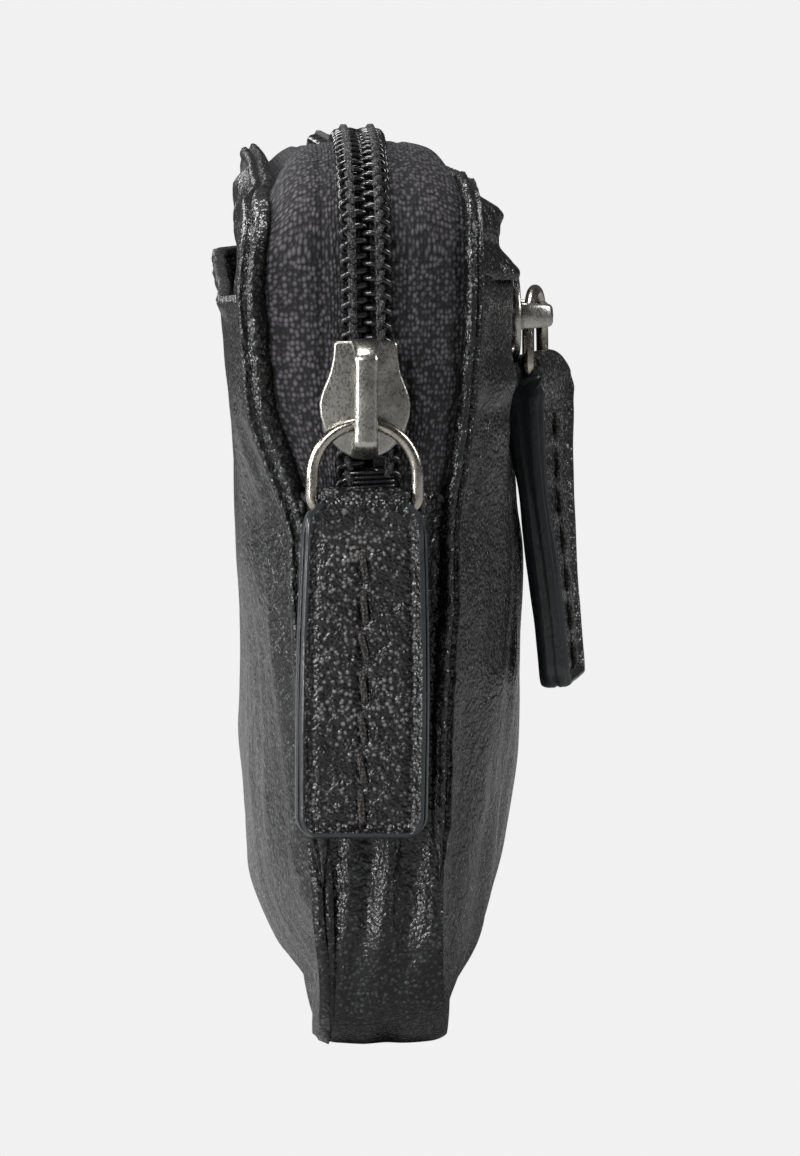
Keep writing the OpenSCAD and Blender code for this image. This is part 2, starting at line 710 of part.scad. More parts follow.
module at_main_ring() {
    at_main_slider() translate([0, -main_ring_out, main_ring_rise]) children();
}

module at_main_pull() {
    at_main_ring() translate([0, 0, -ring_height]) children();
}

main_bridge_shift = -0.25;

module main_slider_body() {
    color(nickel) at_main_slider() slider_body();
}

module main_slider_bridge() {
    color(nickel) at_main_slider() translate([0, 0, main_bridge_shift]) slider_bridge(bridge_length);
}

module main_pull_ring() {
    color(nickel) at_main_ring() pull_ring();
}

module main_pull_leather() {
    color(leather_black) at_main_pull() pull_leather();
}

module main_pull_stitching() {
    color(thread_grey) at_main_pull() pull_stitching();
}

module at_front_slider() {
    translate([front_slider_x, -front_zip_depth, front_zip_z]) children();
}

// The front ring's near leg runs through the bridge and its far leg lies outside it
arch_room = 0.3;
front_ring_rise = bridge_width / 2 + wire / 2 + arch_room;
arch_fall = ring_half - front_ring_rise + bridge_width / 2;
arch_lean = (ring_half - sqrt(ring_half * ring_half - arch_fall * arch_fall)) * sin(front_ring_turn);
leg_back = crown_top + bridge_height - bridge_bar - wire / 2 - slider_clearance - arch_lean;
leg_along = front_bridge_length / 2 - bridge_foot - wire / 2 - slider_clearance;

module at_front_ring() {
    at_front_slider() translate([-leg_along, -leg_back, front_ring_rise])
        rotate([0, 0, -front_ring_turn]) translate([ring_half, 0, 0]) children();
}

module at_front_pull() {
    at_front_ring() translate([0, 0, -ring_height]) rotate([-front_pull_lean, 0, 0]) children();
}

module front_slider_body() {
    color(nickel) at_front_slider() rotate([0, 90, 0]) slider_body();
}

module front_slider_bridge() {
    color(nickel) at_front_slider() rotate([0, 90, 0]) slider_bridge(front_bridge_length);
}

module front_pull_ring() {
    color(nickel) at_front_ring() pull_ring();
}

module front_pull_leather() {
    color(leather_black) at_front_pull() pull_leather();
}

module front_pull_stitching() {
    color(thread_grey) at_front_pull() pull_stitching();
}

gusset();
gusset_lining();
back_panel();
slip_pocket_panel();
front_lower_panel();
front_upper_facing();
front_pocket_partition();
main_lining_back();
main_lining_front();
front_edge_binding();
back_edge_binding();
main_zip_tape_back();
main_zip_tape_front();
main_zip_coil_back();
main_zip_coil_front();
main_zip_stops();
front_zip_tape_upper();
front_zip_tape_lower();
front_zip_coil_upper();
front_zip_coil_lower();
front_zip_stops();
hem_stitches();
key_strap();
key_strap_rivet();
key_split_ring();
main_slider_body();
main_slider_bridge();
main_pull_ring();
main_pull_leather();
main_pull_stitching();
front_slider_body();
front_slider_bridge();
front_pull_ring();
front_pull_leather();
front_pull_stitching();
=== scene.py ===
# %% [markdown]
# A zipped leather key case in Blender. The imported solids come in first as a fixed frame. Each soft piece is
# then modelled as what it is, over the solid that it stands for, in the same place and at the same size.

# %% Load the frame
import bisect
from math import atan2, copysign, cos, exp, pi, radians, sin, sqrt

import bmesh
import bpy
from mathutils import Matrix, Vector, noise


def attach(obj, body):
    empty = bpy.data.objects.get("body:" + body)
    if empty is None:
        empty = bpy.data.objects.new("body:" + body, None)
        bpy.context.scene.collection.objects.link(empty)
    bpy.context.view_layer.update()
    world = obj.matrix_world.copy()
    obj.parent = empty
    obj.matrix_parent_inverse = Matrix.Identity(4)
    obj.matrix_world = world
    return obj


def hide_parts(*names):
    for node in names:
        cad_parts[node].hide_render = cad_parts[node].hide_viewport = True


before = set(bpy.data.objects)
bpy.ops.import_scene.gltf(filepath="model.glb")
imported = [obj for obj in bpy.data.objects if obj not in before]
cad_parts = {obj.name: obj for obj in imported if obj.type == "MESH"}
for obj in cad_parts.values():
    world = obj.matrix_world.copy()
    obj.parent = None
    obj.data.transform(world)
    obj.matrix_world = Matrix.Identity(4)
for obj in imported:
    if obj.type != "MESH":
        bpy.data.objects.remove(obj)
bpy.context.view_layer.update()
MM = 0.001

# %% [markdown]
# The photograph looks straight at the zip's near end from about half a metre, a little from above. A long lens
# at that distance gives the slight shrink of the far end. The small roll leans the case as the photo does.

# %% Camera
EYE = Vector((-0.51107, 0.01626, 0.08815))
AIM = Vector((-0.060, -0.00185, 0.04306))
ROLL = radians(-0.79)
camera_data = bpy.data.cameras.new("camera")
camera_data.lens = 162.0
camera_data.sensor_width = 36
camera_data.sensor_fit = "AUTO"
camera_data.clip_start = 0.01
camera = bpy.data.objects.new("camera", camera_data)
bpy.context.scene.collection.objects.link(camera)
look = (AIM - EYE).to_track_quat("-Z", "Y")
camera.matrix_world = Matrix.Translation(EYE) @ look.to_matrix().to_4x4() @ Matrix.Rotation(ROLL, 4, "Z")
bpy.context.scene.camera = camera

# %% [markdown]
# Black leather shows itself by its highlights, so six soft panels of middling size stand around the case: two at
# the back's side, one behind, one at the front's side, one near the camera and one above, in a dim world. The
# floor and the world turn pale for the camera and for clear rays only.

# %% Light, floor and background
BACKGROUND = (0.88, 0.88, 0.88, 1)
WORLD_LEVEL = 0.07
FLOOR_ALBEDO = 0.34
FLOOR_SIZE, FLOOR_DROP = 1.6, 0.0002
LIGHTS = (  # name, place, what it looks at, size, power
    ("light_left", (-0.06, 0.52, 0.20), (-0.04, 0, 0.04), (0.09, 0.34), 1.5),
    ("light_fold", (-0.38, 0.42, 0.12), (-0.05, 0, 0.03), (0.05, 0.34), 2.2),
    ("light_rim", (0.36, 0.30, 0.30), (-0.02, 0.01, 0.07), (0.20, 0.20), 1.4),
    ("light_right", (-0.16, -0.50, 0.34), (-0.04, 0, 0.05), (0.12, 0.30), 2.0),
    ("light_key", (-0.46, 0.26, 0.36), (-0.04, 0, 0.04), (0.10, 0.14), 2.2),
    ("light_top", (0.06, 0.06, 0.58), (0, 0, 0.05), (0.24, 0.14), 2.4),
)


def area_light(name, place, target, size, power):
    data = bpy.data.lights.new(name, "AREA")
    data.shape = "RECTANGLE"
    data.size, data.size_y = size
    data.energy = power
    lamp = bpy.data.objects.new(name, data)
    turn = (Vector(target) - Vector(place)).to_track_quat("-Z", "Y")
    lamp.matrix_world = Matrix.Translation(place) @ turn.to_matrix().to_4x4()
    bpy.context.scene.collection.objects.link(lamp)


for light in LIGHTS:
    area_light(*light)


def seen_pale(nodes, links, shader, out):
    """The background is pale where the camera or a clear ray meets it."""
    pale = nodes.new("ShaderNodeEmission")
    pale.inputs["Color"].default_value = BACKGROUND
    path = nodes.new("ShaderNodeLightPath")
    either = nodes.new("ShaderNodeMath")
    either.operation = "MAXIMUM"
    links.new(path.outputs["Is Camera Ray"], either.inputs[0])
    links.new(path.outputs["Is Transmission Ray"], either.inputs[1])
    mix = nodes.new("ShaderNodeMixShader")
    links.new(either.outputs[0], mix.inputs[0])
    links.new(shader, mix.inputs[1])
    links.new(pale.outputs[0], mix.inputs[2])
    links.new(mix.outputs[0], out)


world = bpy.data.worlds.new("studio")
world.use_nodes = True
bpy.context.scene.world = world
sky = world.node_tree.nodes
sky["Background"].inputs["Color"].default_value = (1, 1, 1, 1)
sky["Background"].inputs["Strength"].default_value = WORLD_LEVEL
seen_pale(sky, world.node_tree.links, sky["Background"].outputs[0], sky["World Output"].inputs["Surface"])

bm = bmesh.new()
bmesh.ops.create_grid(bm, x_segments=1, y_segments=1, size=FLOOR_SIZE)
floor_mesh = bpy.data.meshes.new("floor")
bm.to_mesh(floor_mesh)
bm.free()
floor = bpy.data.objects.new("floor", floor_mesh)
bpy.context.scene.collection.objects.link(floor)
floor.location = (0, 0, -FLOOR_DROP)
floor_paint = bpy.data.materials.new("floor_paint")
floor_paint.use_nodes = True
floor_nodes = floor_paint.node_tree.nodes
floor_shader = floor_nodes["Principled BSDF"]
floor_shader.inputs["Base Color"].default_value = (FLOOR_ALBEDO, FLOOR_ALBEDO, FLOOR_ALBEDO, 1)
floor_shader.inputs["Roughness"].default_value = 0.9
seen_pale(floor_nodes, floor_paint.node_tree.links, floor_shader.outputs[0],
          floor_nodes["Material Output"].inputs["Surface"])
floor_mesh.materials.append(floor_paint)
bpy.context.scene.view_settings.view_transform = "Standard"

# %% [markdown]
# Every finish starts from one shader with its plain numbers on its own sockets. What varies over a surface, such
# as the grain, comes from textures on Object coordinates, which are metres here, so a scale of 1000 is a millimetre.

# %% Shader helpers


def finish(name, color, roughness, **sockets):
    material = bpy.data.materials.new(name)
    material.use_nodes = True
    shader = material.node_tree.nodes["Principled BSDF"]
    shader.inputs["Base Color"].default_value = (*color, 1)
    shader.inputs["Roughness"].default_value = roughness
    for socket, value in sockets.items():
        shader.inputs[socket.replace("_", " ")].default_value = value
    return material


def texture(material, kind, scale, source="Object", **values):
    tree = material.node_tree
    place = tree.nodes.new("ShaderNodeTexCoord")
    node = tree.nodes.new(kind)
    tree.links.new(place.outputs[source], node.inputs["Vector"])
    node.inputs["Scale"].default_value = scale
    for key, value in values.items():
        if key in node.inputs:
            node.inputs[key].default_value = value
        else:
            setattr(node, key, value)
    return node


def stretch(material, node, scale, source="Object"):
    """Feeds a texture from coordinates that are scaled by its own amount each way."""
    tree = material.node_tree
    size = tree.nodes.new("ShaderNodeMapping")
    size.inputs["Scale"].default_value = scale
    place = tree.nodes.new("ShaderNodeTexCoord")
    tree.links.new(place.outputs[source], size.inputs["Vector"])
    tree.links.new(size.outputs["Vector"], node.inputs["Vector"])


def ramp(material, source, low, high, colors):
    tree = material.node_tree
    node = tree.nodes.new("ShaderNodeValToRGB")
    node.color_ramp.elements[0].position = low
    node.color_ramp.elements[1].position = high
    for element, color in zip(node.color_ramp.elements, colors):
        element.color = (*color, 1)
    tree.links.new(source, node.inputs["Fac"])
    return node.outputs["Color"]


def grey(value):
    return (value,) * 3


def math_node(material, operation, first, second):
    tree = material.node_tree
    node = tree.nodes.new("ShaderNodeMath")
    node.operation = operation
    for socket, value in zip(node.inputs, (first, second)):
        if isinstance(value, (int, float)):
            socket.default_value = value
        else:
            tree.links.new(value, socket)
    return node.outputs[0]


def bump(material, layers):
    """Stacks bumps, each a height socket, a strength and a depth in millimetres, which is below 0 for a hollow."""
    tree = material.node_tree
    below = None
    for height, strength, depth in layers:
        node = tree.nodes.new("ShaderNodeBump")
        node.inputs["Strength"].default_value = strength
        node.inputs["Distance"].default_value = abs(depth) * MM
        node.invert = depth < 0
        tree.links.new(height, node.inputs["Height"])
        if below:
            tree.links.new(below, node.inputs["Normal"])
        below = node.outputs["Normal"]
    tree.links.new(below, tree.nodes["Principled BSDF"].inputs["Normal"])


def feed(material, socket, source):
    material.node_tree.links.new(source, material.node_tree.nodes["Principled BSDF"].inputs[socket])


# %% [markdown]
# The leather is a soft, glossy black hide with a fine pebble grain of about a third of a millimetre. Voronoi cells
# give the pebbles. The tops of some are painted paler, as painted glints, and are made shinier; slow noise gathers
# those in patches.

# %% Leather finishes


def leather_finish(name, dark, light, roughness, grain_mm, depth):
    material = finish(name, dark, roughness, Specular_IOR_Level=0.5)
    pebbles = texture(material, "ShaderNodeTexVoronoi", 1 / (grain_mm * MM), feature="F1", Randomness=1.0)
    fine = texture(material, "ShaderNodeTexNoise", 1 / (0.30 * MM), Detail=2.0, Roughness=0.5)
    slow = texture(material, "ShaderNodeTexNoise", 1 / (5 * MM), Detail=4.0)
    creases = texture(material, "ShaderNodeTexNoise", 1 / (1.8 * MM), Detail=2.0, Distortion=1.2)
    bump(material, [(creases.outputs["Fac"], 0.8, 0.40), (pebbles.outputs["Distance"], 1.0, -depth),
                    (fine.outputs["Fac"], 0.5, depth * 0.14)])
    # Painted glints: random pebble tops, gathered in patches by slow noise, get a paler base colour and less
    # roughness.
    parts = material.node_tree.nodes.new("ShaderNodeSeparateColor")
    material.node_tree.links.new(pebbles.outputs["Color"], parts.inputs["Color"])
    top = math_node(material, "SUBTRACT", 1.0, pebbles.outputs["Distance"])
    painted_glint_mask = math_node(material, "MULTIPLY", parts.outputs["Red"], top)
    painted_glint_mask = math_node(material, "MULTIPLY", painted_glint_mask, math_node(material, "ADD", slow.outputs["Fac"], 0.5))
    feed(material, "Base Color", ramp(material, painted_glint_mask, 0.30, 0.72, [dark, light]))
    feed(material, "Roughness", ramp(material, painted_glint_mask, 0.15, 0.8, [grey(roughness + 0.12), grey(roughness - 0.08)]))
    return material


# The second colour of each leather is the painted glint colour on its pebble tops; the pull's is paler.
leather = leather_finish("black_leather", (0.0030, 0.0031, 0.0033), (0.047, 0.049, 0.051), 0.21, 0.36, 0.08)
pull_hide = leather_finish("pull_leather", (0.0030, 0.0030, 0.0033), (0.140, 0.140, 0.145), 0.21, 0.33, 0.085)
edge_paint = finish("edge_paint", (0.016, 0.019, 0.021), 0.30, Specular_IOR_Level=0.6)
paint_grain = texture(edge_paint, "ShaderNodeTexNoise", 1 / (0.5 * MM), Detail=3.0)
bump(edge_paint, [(paint_grain.outputs["Fac"], 0.4, 0.1)])

# %% [markdown]
# The zip tape is a charcoal knit. Its columns follow the tape, so the pattern reads the piece's own UV map, whose
# units are millimetres. Stretched cells in columns make the loops, and each one has its own tone, as worn knit has.
# Each loop is also painted paler in its middle and darker towards its rim, as painted shade in the gaps between
# loops.

# %% Tape, thread and lining finishes


def cloth_finish(name, color, across_mm, along_mm, depth, source="UV", uneven=1.0):
    material = finish(name, color, 0.9, Specular_IOR_Level=0.3)
    tree = material.node_tree
    unit = 1.0 if source == "UV" else 1 / MM
    loops = texture(material, "ShaderNodeTexVoronoi", unit, source, feature="F1", Randomness=0.6)
    stretch(material, loops, (1 / across_mm, 1 / along_mm, 1 / along_mm), source)
    fuzz = texture(material, "ShaderNodeTexNoise", unit / 0.14, source, Detail=4.0)
    shade = tree.nodes.new("ShaderNodeSeparateColor")
    tree.links.new(loops.outputs["Color"], shade.inputs["Color"])
    own = math_node(material, "MULTIPLY_ADD", shade.outputs["Red"], 0.55 * uneven)
    own.node.inputs[2].default_value = 1 - 0.40 * uneven
    # Painted shade: each loop darkens from its paler middle to its rim, as shade in the gaps between loops.
    centre = math_node(material, "SUBTRACT", 0.95, loops.outputs["Distance"])
    loop_tone_and_gap_shade = math_node(material, "MULTIPLY", own, centre)
    bump(material, [(loops.outputs["Distance"], 1.0, -depth), (fuzz.outputs["Fac"], 0.6, depth * 0.4)])
    tones = [tuple(c * 0.18 for c in color), tuple(c * 2.2 for c in color)]
    feed(material, "Base Color", ramp(material, loop_tone_and_gap_shade, 0.34, 0.90, tones))
    return material


tape_knit = cloth_finish("tape_knit", (0.046, 0.043, 0.048), 0.33, 0.50, 0.24, "UV", 0.35)
lining_weave = cloth_finish("lining_weave", (0.05, 0.05, 0.056), 0.4, 0.4, 0.05, "Object", 0.4)
sewing_thread = cloth_finish("sewing_thread", (0.060, 0.056, 0.053), 0.14, 0.3, 0.05, "Object", 0.5)
coil_thread = cloth_finish("coil_thread", (0.078, 0.074, 0.077), 0.14, 0.2, 0.06, "Object", 1.0)
coil_nylon = finish("coil_nylon", (0.0075, 0.0075, 0.0085), 0.22, Specular_IOR_Level=0.6)
coil_wear = texture(coil_nylon, "ShaderNodeTexNoise", 1 / (0.5 * MM), Detail=2.0)
feed(coil_nylon, "Roughness", ramp(coil_nylon, coil_wear.outputs["Fac"], 0.35, 0.7, [grey(0.16), grey(0.34)]))

# %% [markdown]
# The slider is die cast and plated in antique nickel: dark in its hollows, brushed and brighter where it rubs.
# The ring's wire is smoother and warmer. Fine noise gives the brush marks and slower noise the tarnish.

# %% Metal finishes


def nickel_finish(name, dark, bright, roughness, scratch):
    material = finish(name, bright, roughness, Metallic=1.0)
    marks = texture(material, "ShaderNodeTexNoise", 1 / (0.5 * MM), Detail=4.0)
    stretch(material, marks, (3.0, 3.0, 2.0))
    patina = texture(material, "ShaderNodeTexNoise", 1 / (1.6 * MM), Detail=4.0)
    both = math_node(material, "MULTIPLY_ADD", marks.outputs["Fac"], 0.45)
    material.node_tree.links.new(patina.outputs["Fac"], both.node.inputs[2])
    feed(material, "Base Color", ramp(material, both, 0.45, 0.95, [dark, bright]))
    feed(material, "Roughness", ramp(material, marks.outputs["Fac"], 0.3, 0.75,
                                     [grey(roughness - 0.08), grey(roughness + 0.12)]))
    bump(material, [(marks.outputs["Fac"], scratch, 0.03)])
    return material


nickel = nickel_finish("antique_nickel", (0.25, 0.243, 0.222), (0.52, 0.51, 0.47), 0.29, 0.4)
ring_wire = nickel_finish("ring_wire", (0.23, 0.205, 0.175), (0.56, 0.53, 0.47), 0.22, 0.12)

# %% [markdown]
# Pieces are modelled in millimetres and scaled to metres when they are done. Most of them are a grid that is
# laid over a formula: two numbers from 0 to 1 say where a point lies, and a function gives its place.

# %% Modelling helpers
SLUMP, EAR_DROP, SEAM_BULGE = 1.7, 1.3, 1.8


def lay(across, along, point, face=None, closed=False, uv=None):
    """A grid laid over point(u, v); face is the way that it looks, uv its size in millimetres."""
    bm = bmesh.new()
    bmesh.ops.create_grid(bm, x_segments=across, y_segments=along, size=0.5)
    if uv:
        layer = bm.loops.layers.uv.new("weave")
        for corner in (loop for f in bm.faces for loop in f.loops):
            at = corner.vert.co
            corner[layer].uv = ((at.x + 0.5) * uv[0], (at.y + 0.5) * uv[1])
    for vert in bm.verts:
        vert.co = point(vert.co.x + 0.5, vert.co.y + 0.5)
    if closed:
        bmesh.ops.remove_doubles(bm, verts=bm.verts, dist=1e-4)
        bmesh.ops.holes_fill(bm, edges=bm.edges, sides=0)
        bmesh.ops.recalc_face_normals(bm, faces=bm.faces)
    elif face:
        bm.normal_update()
        total = sum((f.normal * f.calc_area() for f in bm.faces), Vector())
        if total.dot(Vector(face)) < 0:
            bmesh.ops.reverse_faces(bm, faces=bm.faces)
    return bm


def rise(value, start, end):
    """From 0 at the start to 1 at the end, smoothly."""
    t = min(1, max(0, (value - start) / (end - start)))
    return t * t * (3 - 2 * t)


def slump(bm):
    """The soft top sinks away from the near end, first at its sides, while the back's edge stands up again. At the
    near end the back seam bulges outward and its top corner is lower."""
    for vert in bm.verts:
        x, y, z = vert.co
        outer = rise(abs(y), 5, 9)
        stands = 0.9 * rise(y, 7, 9) * rise(x, -34, 0)
        vert.co.z -= SLUMP * rise(z, 58, 78) * rise(x, -44 - 18 * outer, -22 - 20 * outer) * (1 - stands)
        vert.co.z -= EAR_DROP * rise(y, 6, 9) * (1 - rise(x, -46, -30)) * rise(z, 64, 77)
        bulge = rise(y, 3.5, 9) * (1 - rise(y, 9.8, 13.5)) * (1 - rise(x, -50, -36))
        vert.co.y += SEAM_BULGE * bulge * rise(z, 46, 58) * (1 - 0.4 * rise(z, 68, 78))


def piece(bm, name, material, body, slot, *replaced, wall=0):
    """Turns a mesh into a finished object in metres, on its body, in place of the solids that it replaces."""
    if body == "case":
        slump(bm)
    bmesh.ops.scale(bm, vec=(MM, MM, MM), verts=bm.verts)
    mesh = bpy.data.meshes.new(name)
    bm.to_mesh(mesh)
    bm.free()
    mesh.materials.append(material)
    mesh.shade_smooth()
    obj = bpy.data.objects.new(name, mesh)
    bpy.context.scene.collection.objects.link(obj)
    if wall:
        thick = obj.modifiers.new("wall", "SOLIDIFY")
        thick.thickness = wall * MM
        thick.offset = -1
    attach(obj, body)
    if replaced:
        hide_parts(*replaced)


def tube(paths, radius, sides, closed=False):
    """Round thread or wire along each path, all in one mesh."""
    curve = bpy.data.curves.new("wire_path", "CURVE")
    curve.dimensions = "3D"
    curve.bevel_depth = radius
    curve.bevel_resolution = max(0, sides // 2 - 2)
    curve.use_fill_caps = not closed
    for path in paths:
        spline = curve.splines.new("POLY")
        spline.points.add(len(path) - 1)
        for target, place in zip(spline.points, path):
            target.co = (*place, 1)
        spline.use_cyclic_u = closed
    carrier = bpy.data.objects.new("wire_carrier", curve)
    mesh = bpy.data.meshes.new_from_object(carrier)
    bm = bmesh.new()
    bm.from_mesh(mesh)
    bpy.data.objects.remove(carrier)
    bpy.data.curves.remove(curve)
    bpy.data.meshes.remove(mesh)
    return bm


def joined(*meshes):
    """One mesh of several closed ones."""
    whole = bmesh.new()
    for bm in meshes:
        carrier = bpy.data.meshes.new("carrier")
        bm.to_mesh(carrier)
        whole.from_mesh(carrier)
        bpy.data.meshes.remove(carrier)
        bm.free()
    return whole


def blend_table(x, table):
    """Smooth curve through a table of (place, value) pairs, with the slope at each point shared by its sides."""
    if x <= table[0][0]:
        return table[0][1]
    for i in range(1, len(table)):
        if x <= table[i][0]:
            (x0, y0), (x1, y1) = table[i - 1], table[i]
            before, after = table[max(0, i - 2)], table[min(len(table) - 1, i + 1)]
            width = x1 - x0
            slope0 = (y1 - before[1]) / (x1 - before[0])
            slope1 = (after[1] - y0) / (after[0] - x0)
            t = (x - x0) / width
            return ((2 * t ** 3 - 3 * t ** 2 + 1) * y0 + (t ** 3 - 2 * t ** 2 + t) * width * slope0
                    + (3 * t ** 2 - 2 * t ** 3) * y1 + (t ** 3 - t ** 2) * width * slope1)
    return table[-1][1]


def wrinkle(x, z, stretch_x, stretch_z, seed=0.0):
    """Slow noise from -1 to 1, with its waves stretched each way in millimetres."""
    return noise.noise(Vector((x / stretch_x, z / stretch_z, seed)))


# %% [markdown]
# The case's own shape. Its side seams are an outline in the X-Z plane, and each face bulges out of it. These
# are the sizes of the solids, so each piece lies where its solid does.

# %% The shape of the case
HALF, TOP = 58.5, 78.5
CORNER_RUN, CORNER_RISE, LOW_RADIUS = 15.0, 7.4, 12.0
SEAM_CORNER = 18.6
ZIP_Y, ZIP_START = 0.8, 50.6
SEAM_TOTAL = 2 * (TOP - CORNER_RISE - ZIP_START + SEAM_CORNER) + 2 * (HALF - CORNER_RUN)
LOW_CORNER = LOW_RADIUS * pi / 2
LOW_TOTAL = 2 * (ZIP_START - LOW_RADIUS + LOW_CORNER) + 2 * (HALF - LOW_RADIUS)
LOWER_HEM, FACING_LOW, SLIP_MOUTH = 60.8, 69.0, 68.3
SIDE = [(0, 5.3), (14.6, 5.35), (22.6, 5.75), (32.6, 6.2), (40.6, 6.7), (47.6, 6.9), (54.1, 7.85), (58.6, 8.55),
        (62.6, 8.85), (71.6, 9.15), (78.5, 9.1)]
FRONT = [(0, 0.5), (1.33, 0.84), (3.53, 2.1), (8.0, 5.54), (11.8, 6.72), (16, 7.6), (24, 8.36), (32, 8.32),
         (40, 7.73), (48, 6.94), (53, 5.67), (58.5, 4.79), (62.8, 4.45), (69.1, 4.54), (72.6, 3.44), (76, 2.39),
         (78.5, 0)]
BACK = [(0, 0.92), (6, 4.46), (14, 4.6), (24.1, 4.28), (34.1, 3.86), (44.3, 3.5), (54.4, 2.39), (63.4, 1.52),
        (72.4, 1.2), (75.9, 0.78), (78.5, 0)]
SLIP = [(0, 1.02), (3.1, 3.06), (6, 4.7), (14, 5.1), (24.1, 4.8), (34.1, 4.16), (44.3, 4.0), (54.4, 3.2),
        (63.4, 2.86), (68, 3.2), (78.5, 3.2)]


def half_width(z):
    """From the middle plane to the side seams."""
    return blend_table(z, SIDE)


def half_length(z, inset=0):
    """From the middle to the end seams, with both corners rounded."""
    run, up, low = CORNER_RUN - inset, CORNER_RISE - inset, LOW_RADIUS - inset
    if z > TOP - CORNER_RISE:
        return HALF - CORNER_RUN + run * sqrt(max(0, 1 - ((z - TOP + CORNER_RISE) / up) ** 2))
    if z < LOW_RADIUS:
        return HALF - LOW_RADIUS + sqrt(max(0, low * low - (LOW_RADIUS - z) ** 2))
    return HALF - inset


def swell(x, z):
    """The share of a panel's full bulge at a place: 1 in the middle, 0 at the end seams."""
    roundness = 3.4 + 5.6 * min(1, (z / LOWER_HEM) ** 2)
    return 1 - min(1, abs(x) / half_length(z)) ** roundness


def front_skin(x, z):
    return half_width(z) + blend_table(z, FRONT) * swell(x, z)


def back_skin(x, z):
    return half_width(z) + blend_table(z, BACK) * swell(x, z)


def slip_skin(x, z):
    return half_width(z) + 1 + blend_table(z, SLIP) * swell(x, z)


def row_height(v, low, high):
    """Rows crowd together in the two corners, where the outline turns."""
    t = v
    if low < 1:
        t = v ** 1.35
    if high > TOP - 1:
        t = 1 - (1 - t) ** 1.5
    return low + (high - low) * t


def seam_line(s):
    """Point and outward direction on the seam outline; s runs 0 to 1 from the near hem over the top to the far."""
    straight = TOP - CORNER_RISE - ZIP_START
    d = s * SEAM_TOTAL
    side = -1 if d < SEAM_TOTAL / 2 else 1
    d = min(d, SEAM_TOTAL - d)
    if d < straight:
        return Vector((side * HALF, 0, ZIP_START + d)), Vector((side, 0, 0))
    if d < straight + SEAM_CORNER:
        t = (d - straight) / SEAM_CORNER
        a = radians(90 * (t ** 0.8))
        out = Vector((side * CORNER_RISE * cos(a), 0, CORNER_RUN * sin(a))).normalized()
        return Vector((side * (HALF - CORNER_RUN + CORNER_RUN * cos(a)), 0,
                       TOP - CORNER_RISE + CORNER_RISE * sin(a))), out
    x = HALF - CORNER_RUN - (d - straight - SEAM_CORNER)
    return Vector((side * x, 0, TOP)), Vector((0, 0, 1))


# %% [markdown]
# The big panels. Each is a fine grid on its skin, with creases from stretched noise: long upright ones near the
# ends, where the seams pull the leather in, and slack ones under the zip. A Solidify modifier gives the wall.

# %% Panels
LEATHER_WALL, GUSSET_WALL, LINING_WALL, TAPE_WALL = 1, 0.9, 0.3, 0.5
LINING_SINK, LINING_INSET = 1.35, 1.7


def creases(x, z, seed):
    """Height of the slack folds in a panel, in millimetres; they run upright near the ends."""
    near_end = rise(abs(x), 20, 54)
    upright = (wrinkle(x, z, 3.2, 26, seed) * 0.55 + wrinkle(x, z, 6.0, 14, seed + 2) * 0.7) * near_end
    upright -= 0.5 * rise(abs(x), 48, 56)
    slack = wrinkle(x, z, 13, 8, seed + 4) * 0.3 * (1 - 0.5 * near_end)
    fine = wrinkle(x, z, 2.4, 5, seed + 9) * 0.07
    edge = min(1, (half_length(z) - abs(x)) / 2.5, (TOP - z) / 2.0)
    return (upright + slack + fine) * max(0, edge)


def panel(name, low, high, skin, side, seed, shape, end_high=None):
    """A panel from one height up to another, which can be higher at both ends than between them."""
    def point(u, v):
        spread = sin(pi * (u - 0.5))
        top = high + (end_high - high) * rise(abs(spread), 0.80, 0.84) if end_high else high
        z = row_height(v, low, top)
        x = half_length(z) * spread
        y = skin(x, z) + creases(x, z, seed) + shape(x, z)
        return Vector((x, side * y, z))

    bm = lay(150, 90, point, (0, side, 0))
    piece(bm, name, leather, "case", "black_leather", name, wall=LEATHER_WALL)


def lower_panel_shape(x, z):
    """The hem under the front zip turns outward in a soft roll and is held down by its stitch line."""
    hem = 0.55 * exp(-((z - 59.6) / 1.1) ** 2) - 0.5 * exp(-((z - 56.8) / 0.7) ** 2)
    sag = 0.5 * wrinkle(x, z, 17, 5, 31) * rise(z, 42, 54) * (1 - rise(z, 55, 58))
    return (hem + sag) * min(1, (half_length(z) - abs(x)) / 4)


def facing_shape(x, z):
    """Two rolls where the facing is folded over the zip and where it is lined, with a dip between them."""
    low_roll = 0.5 * exp(-((z - 69.9) / 0.9) ** 2)
    high_roll = 0.75 * exp(-((z - 75.8) / 1.0) ** 2)
    dips = -0.5 * exp(-((z - 72.4) / 0.9) ** 2) + 0.35 * wrinkle(x, z, 6, 3, 12)
    return (low_roll + high_roll + dips) * min(1, (half_length(z) - abs(x)) / 4)


def low_pull(x, z, skin, least):
    """How far the slack leather at the back is drawn in near the base, most of all at the near corner."""
    drawn = 2.3 * (1 - rise(z, 2, 13)) + 2.3 * rise(-x, 26, 48) * (1 - rise(z, 6, 18))
    return -max(0, min(drawn, skin(x, z) - half_width(z) - least))


def slip_shape(x, z):
    """The pocket's mouth is a folded hem that bulges over its stitch line."""
    hem = 0.35 * exp(-((z - 67.2) / 0.8) ** 2) - 0.35 * exp(-((z - 65.2) / 0.5) ** 2)
    return hem * min(1, (half_length(z) - abs(x)) / 3) + low_pull(x, z, slip_skin, 0.35 + 0.55 * rise(z, 6, 14))


def back_shape(x, z):
    """Slack folds in the open strip over the slip pocket."""
    fold = wrinkle(x, z, 9, 6, 41) * 1.1 + wrinkle(x, z, 4, 9, 44) * 0.5
    slack = (fold + 0.6) * rise(z, 66.6, 72.6) * min(1, (half_length(z) - abs(x)) / 12, (TOP - z) / 2.5)
    return slack + low_pull(x, z, back_skin, 0.0)


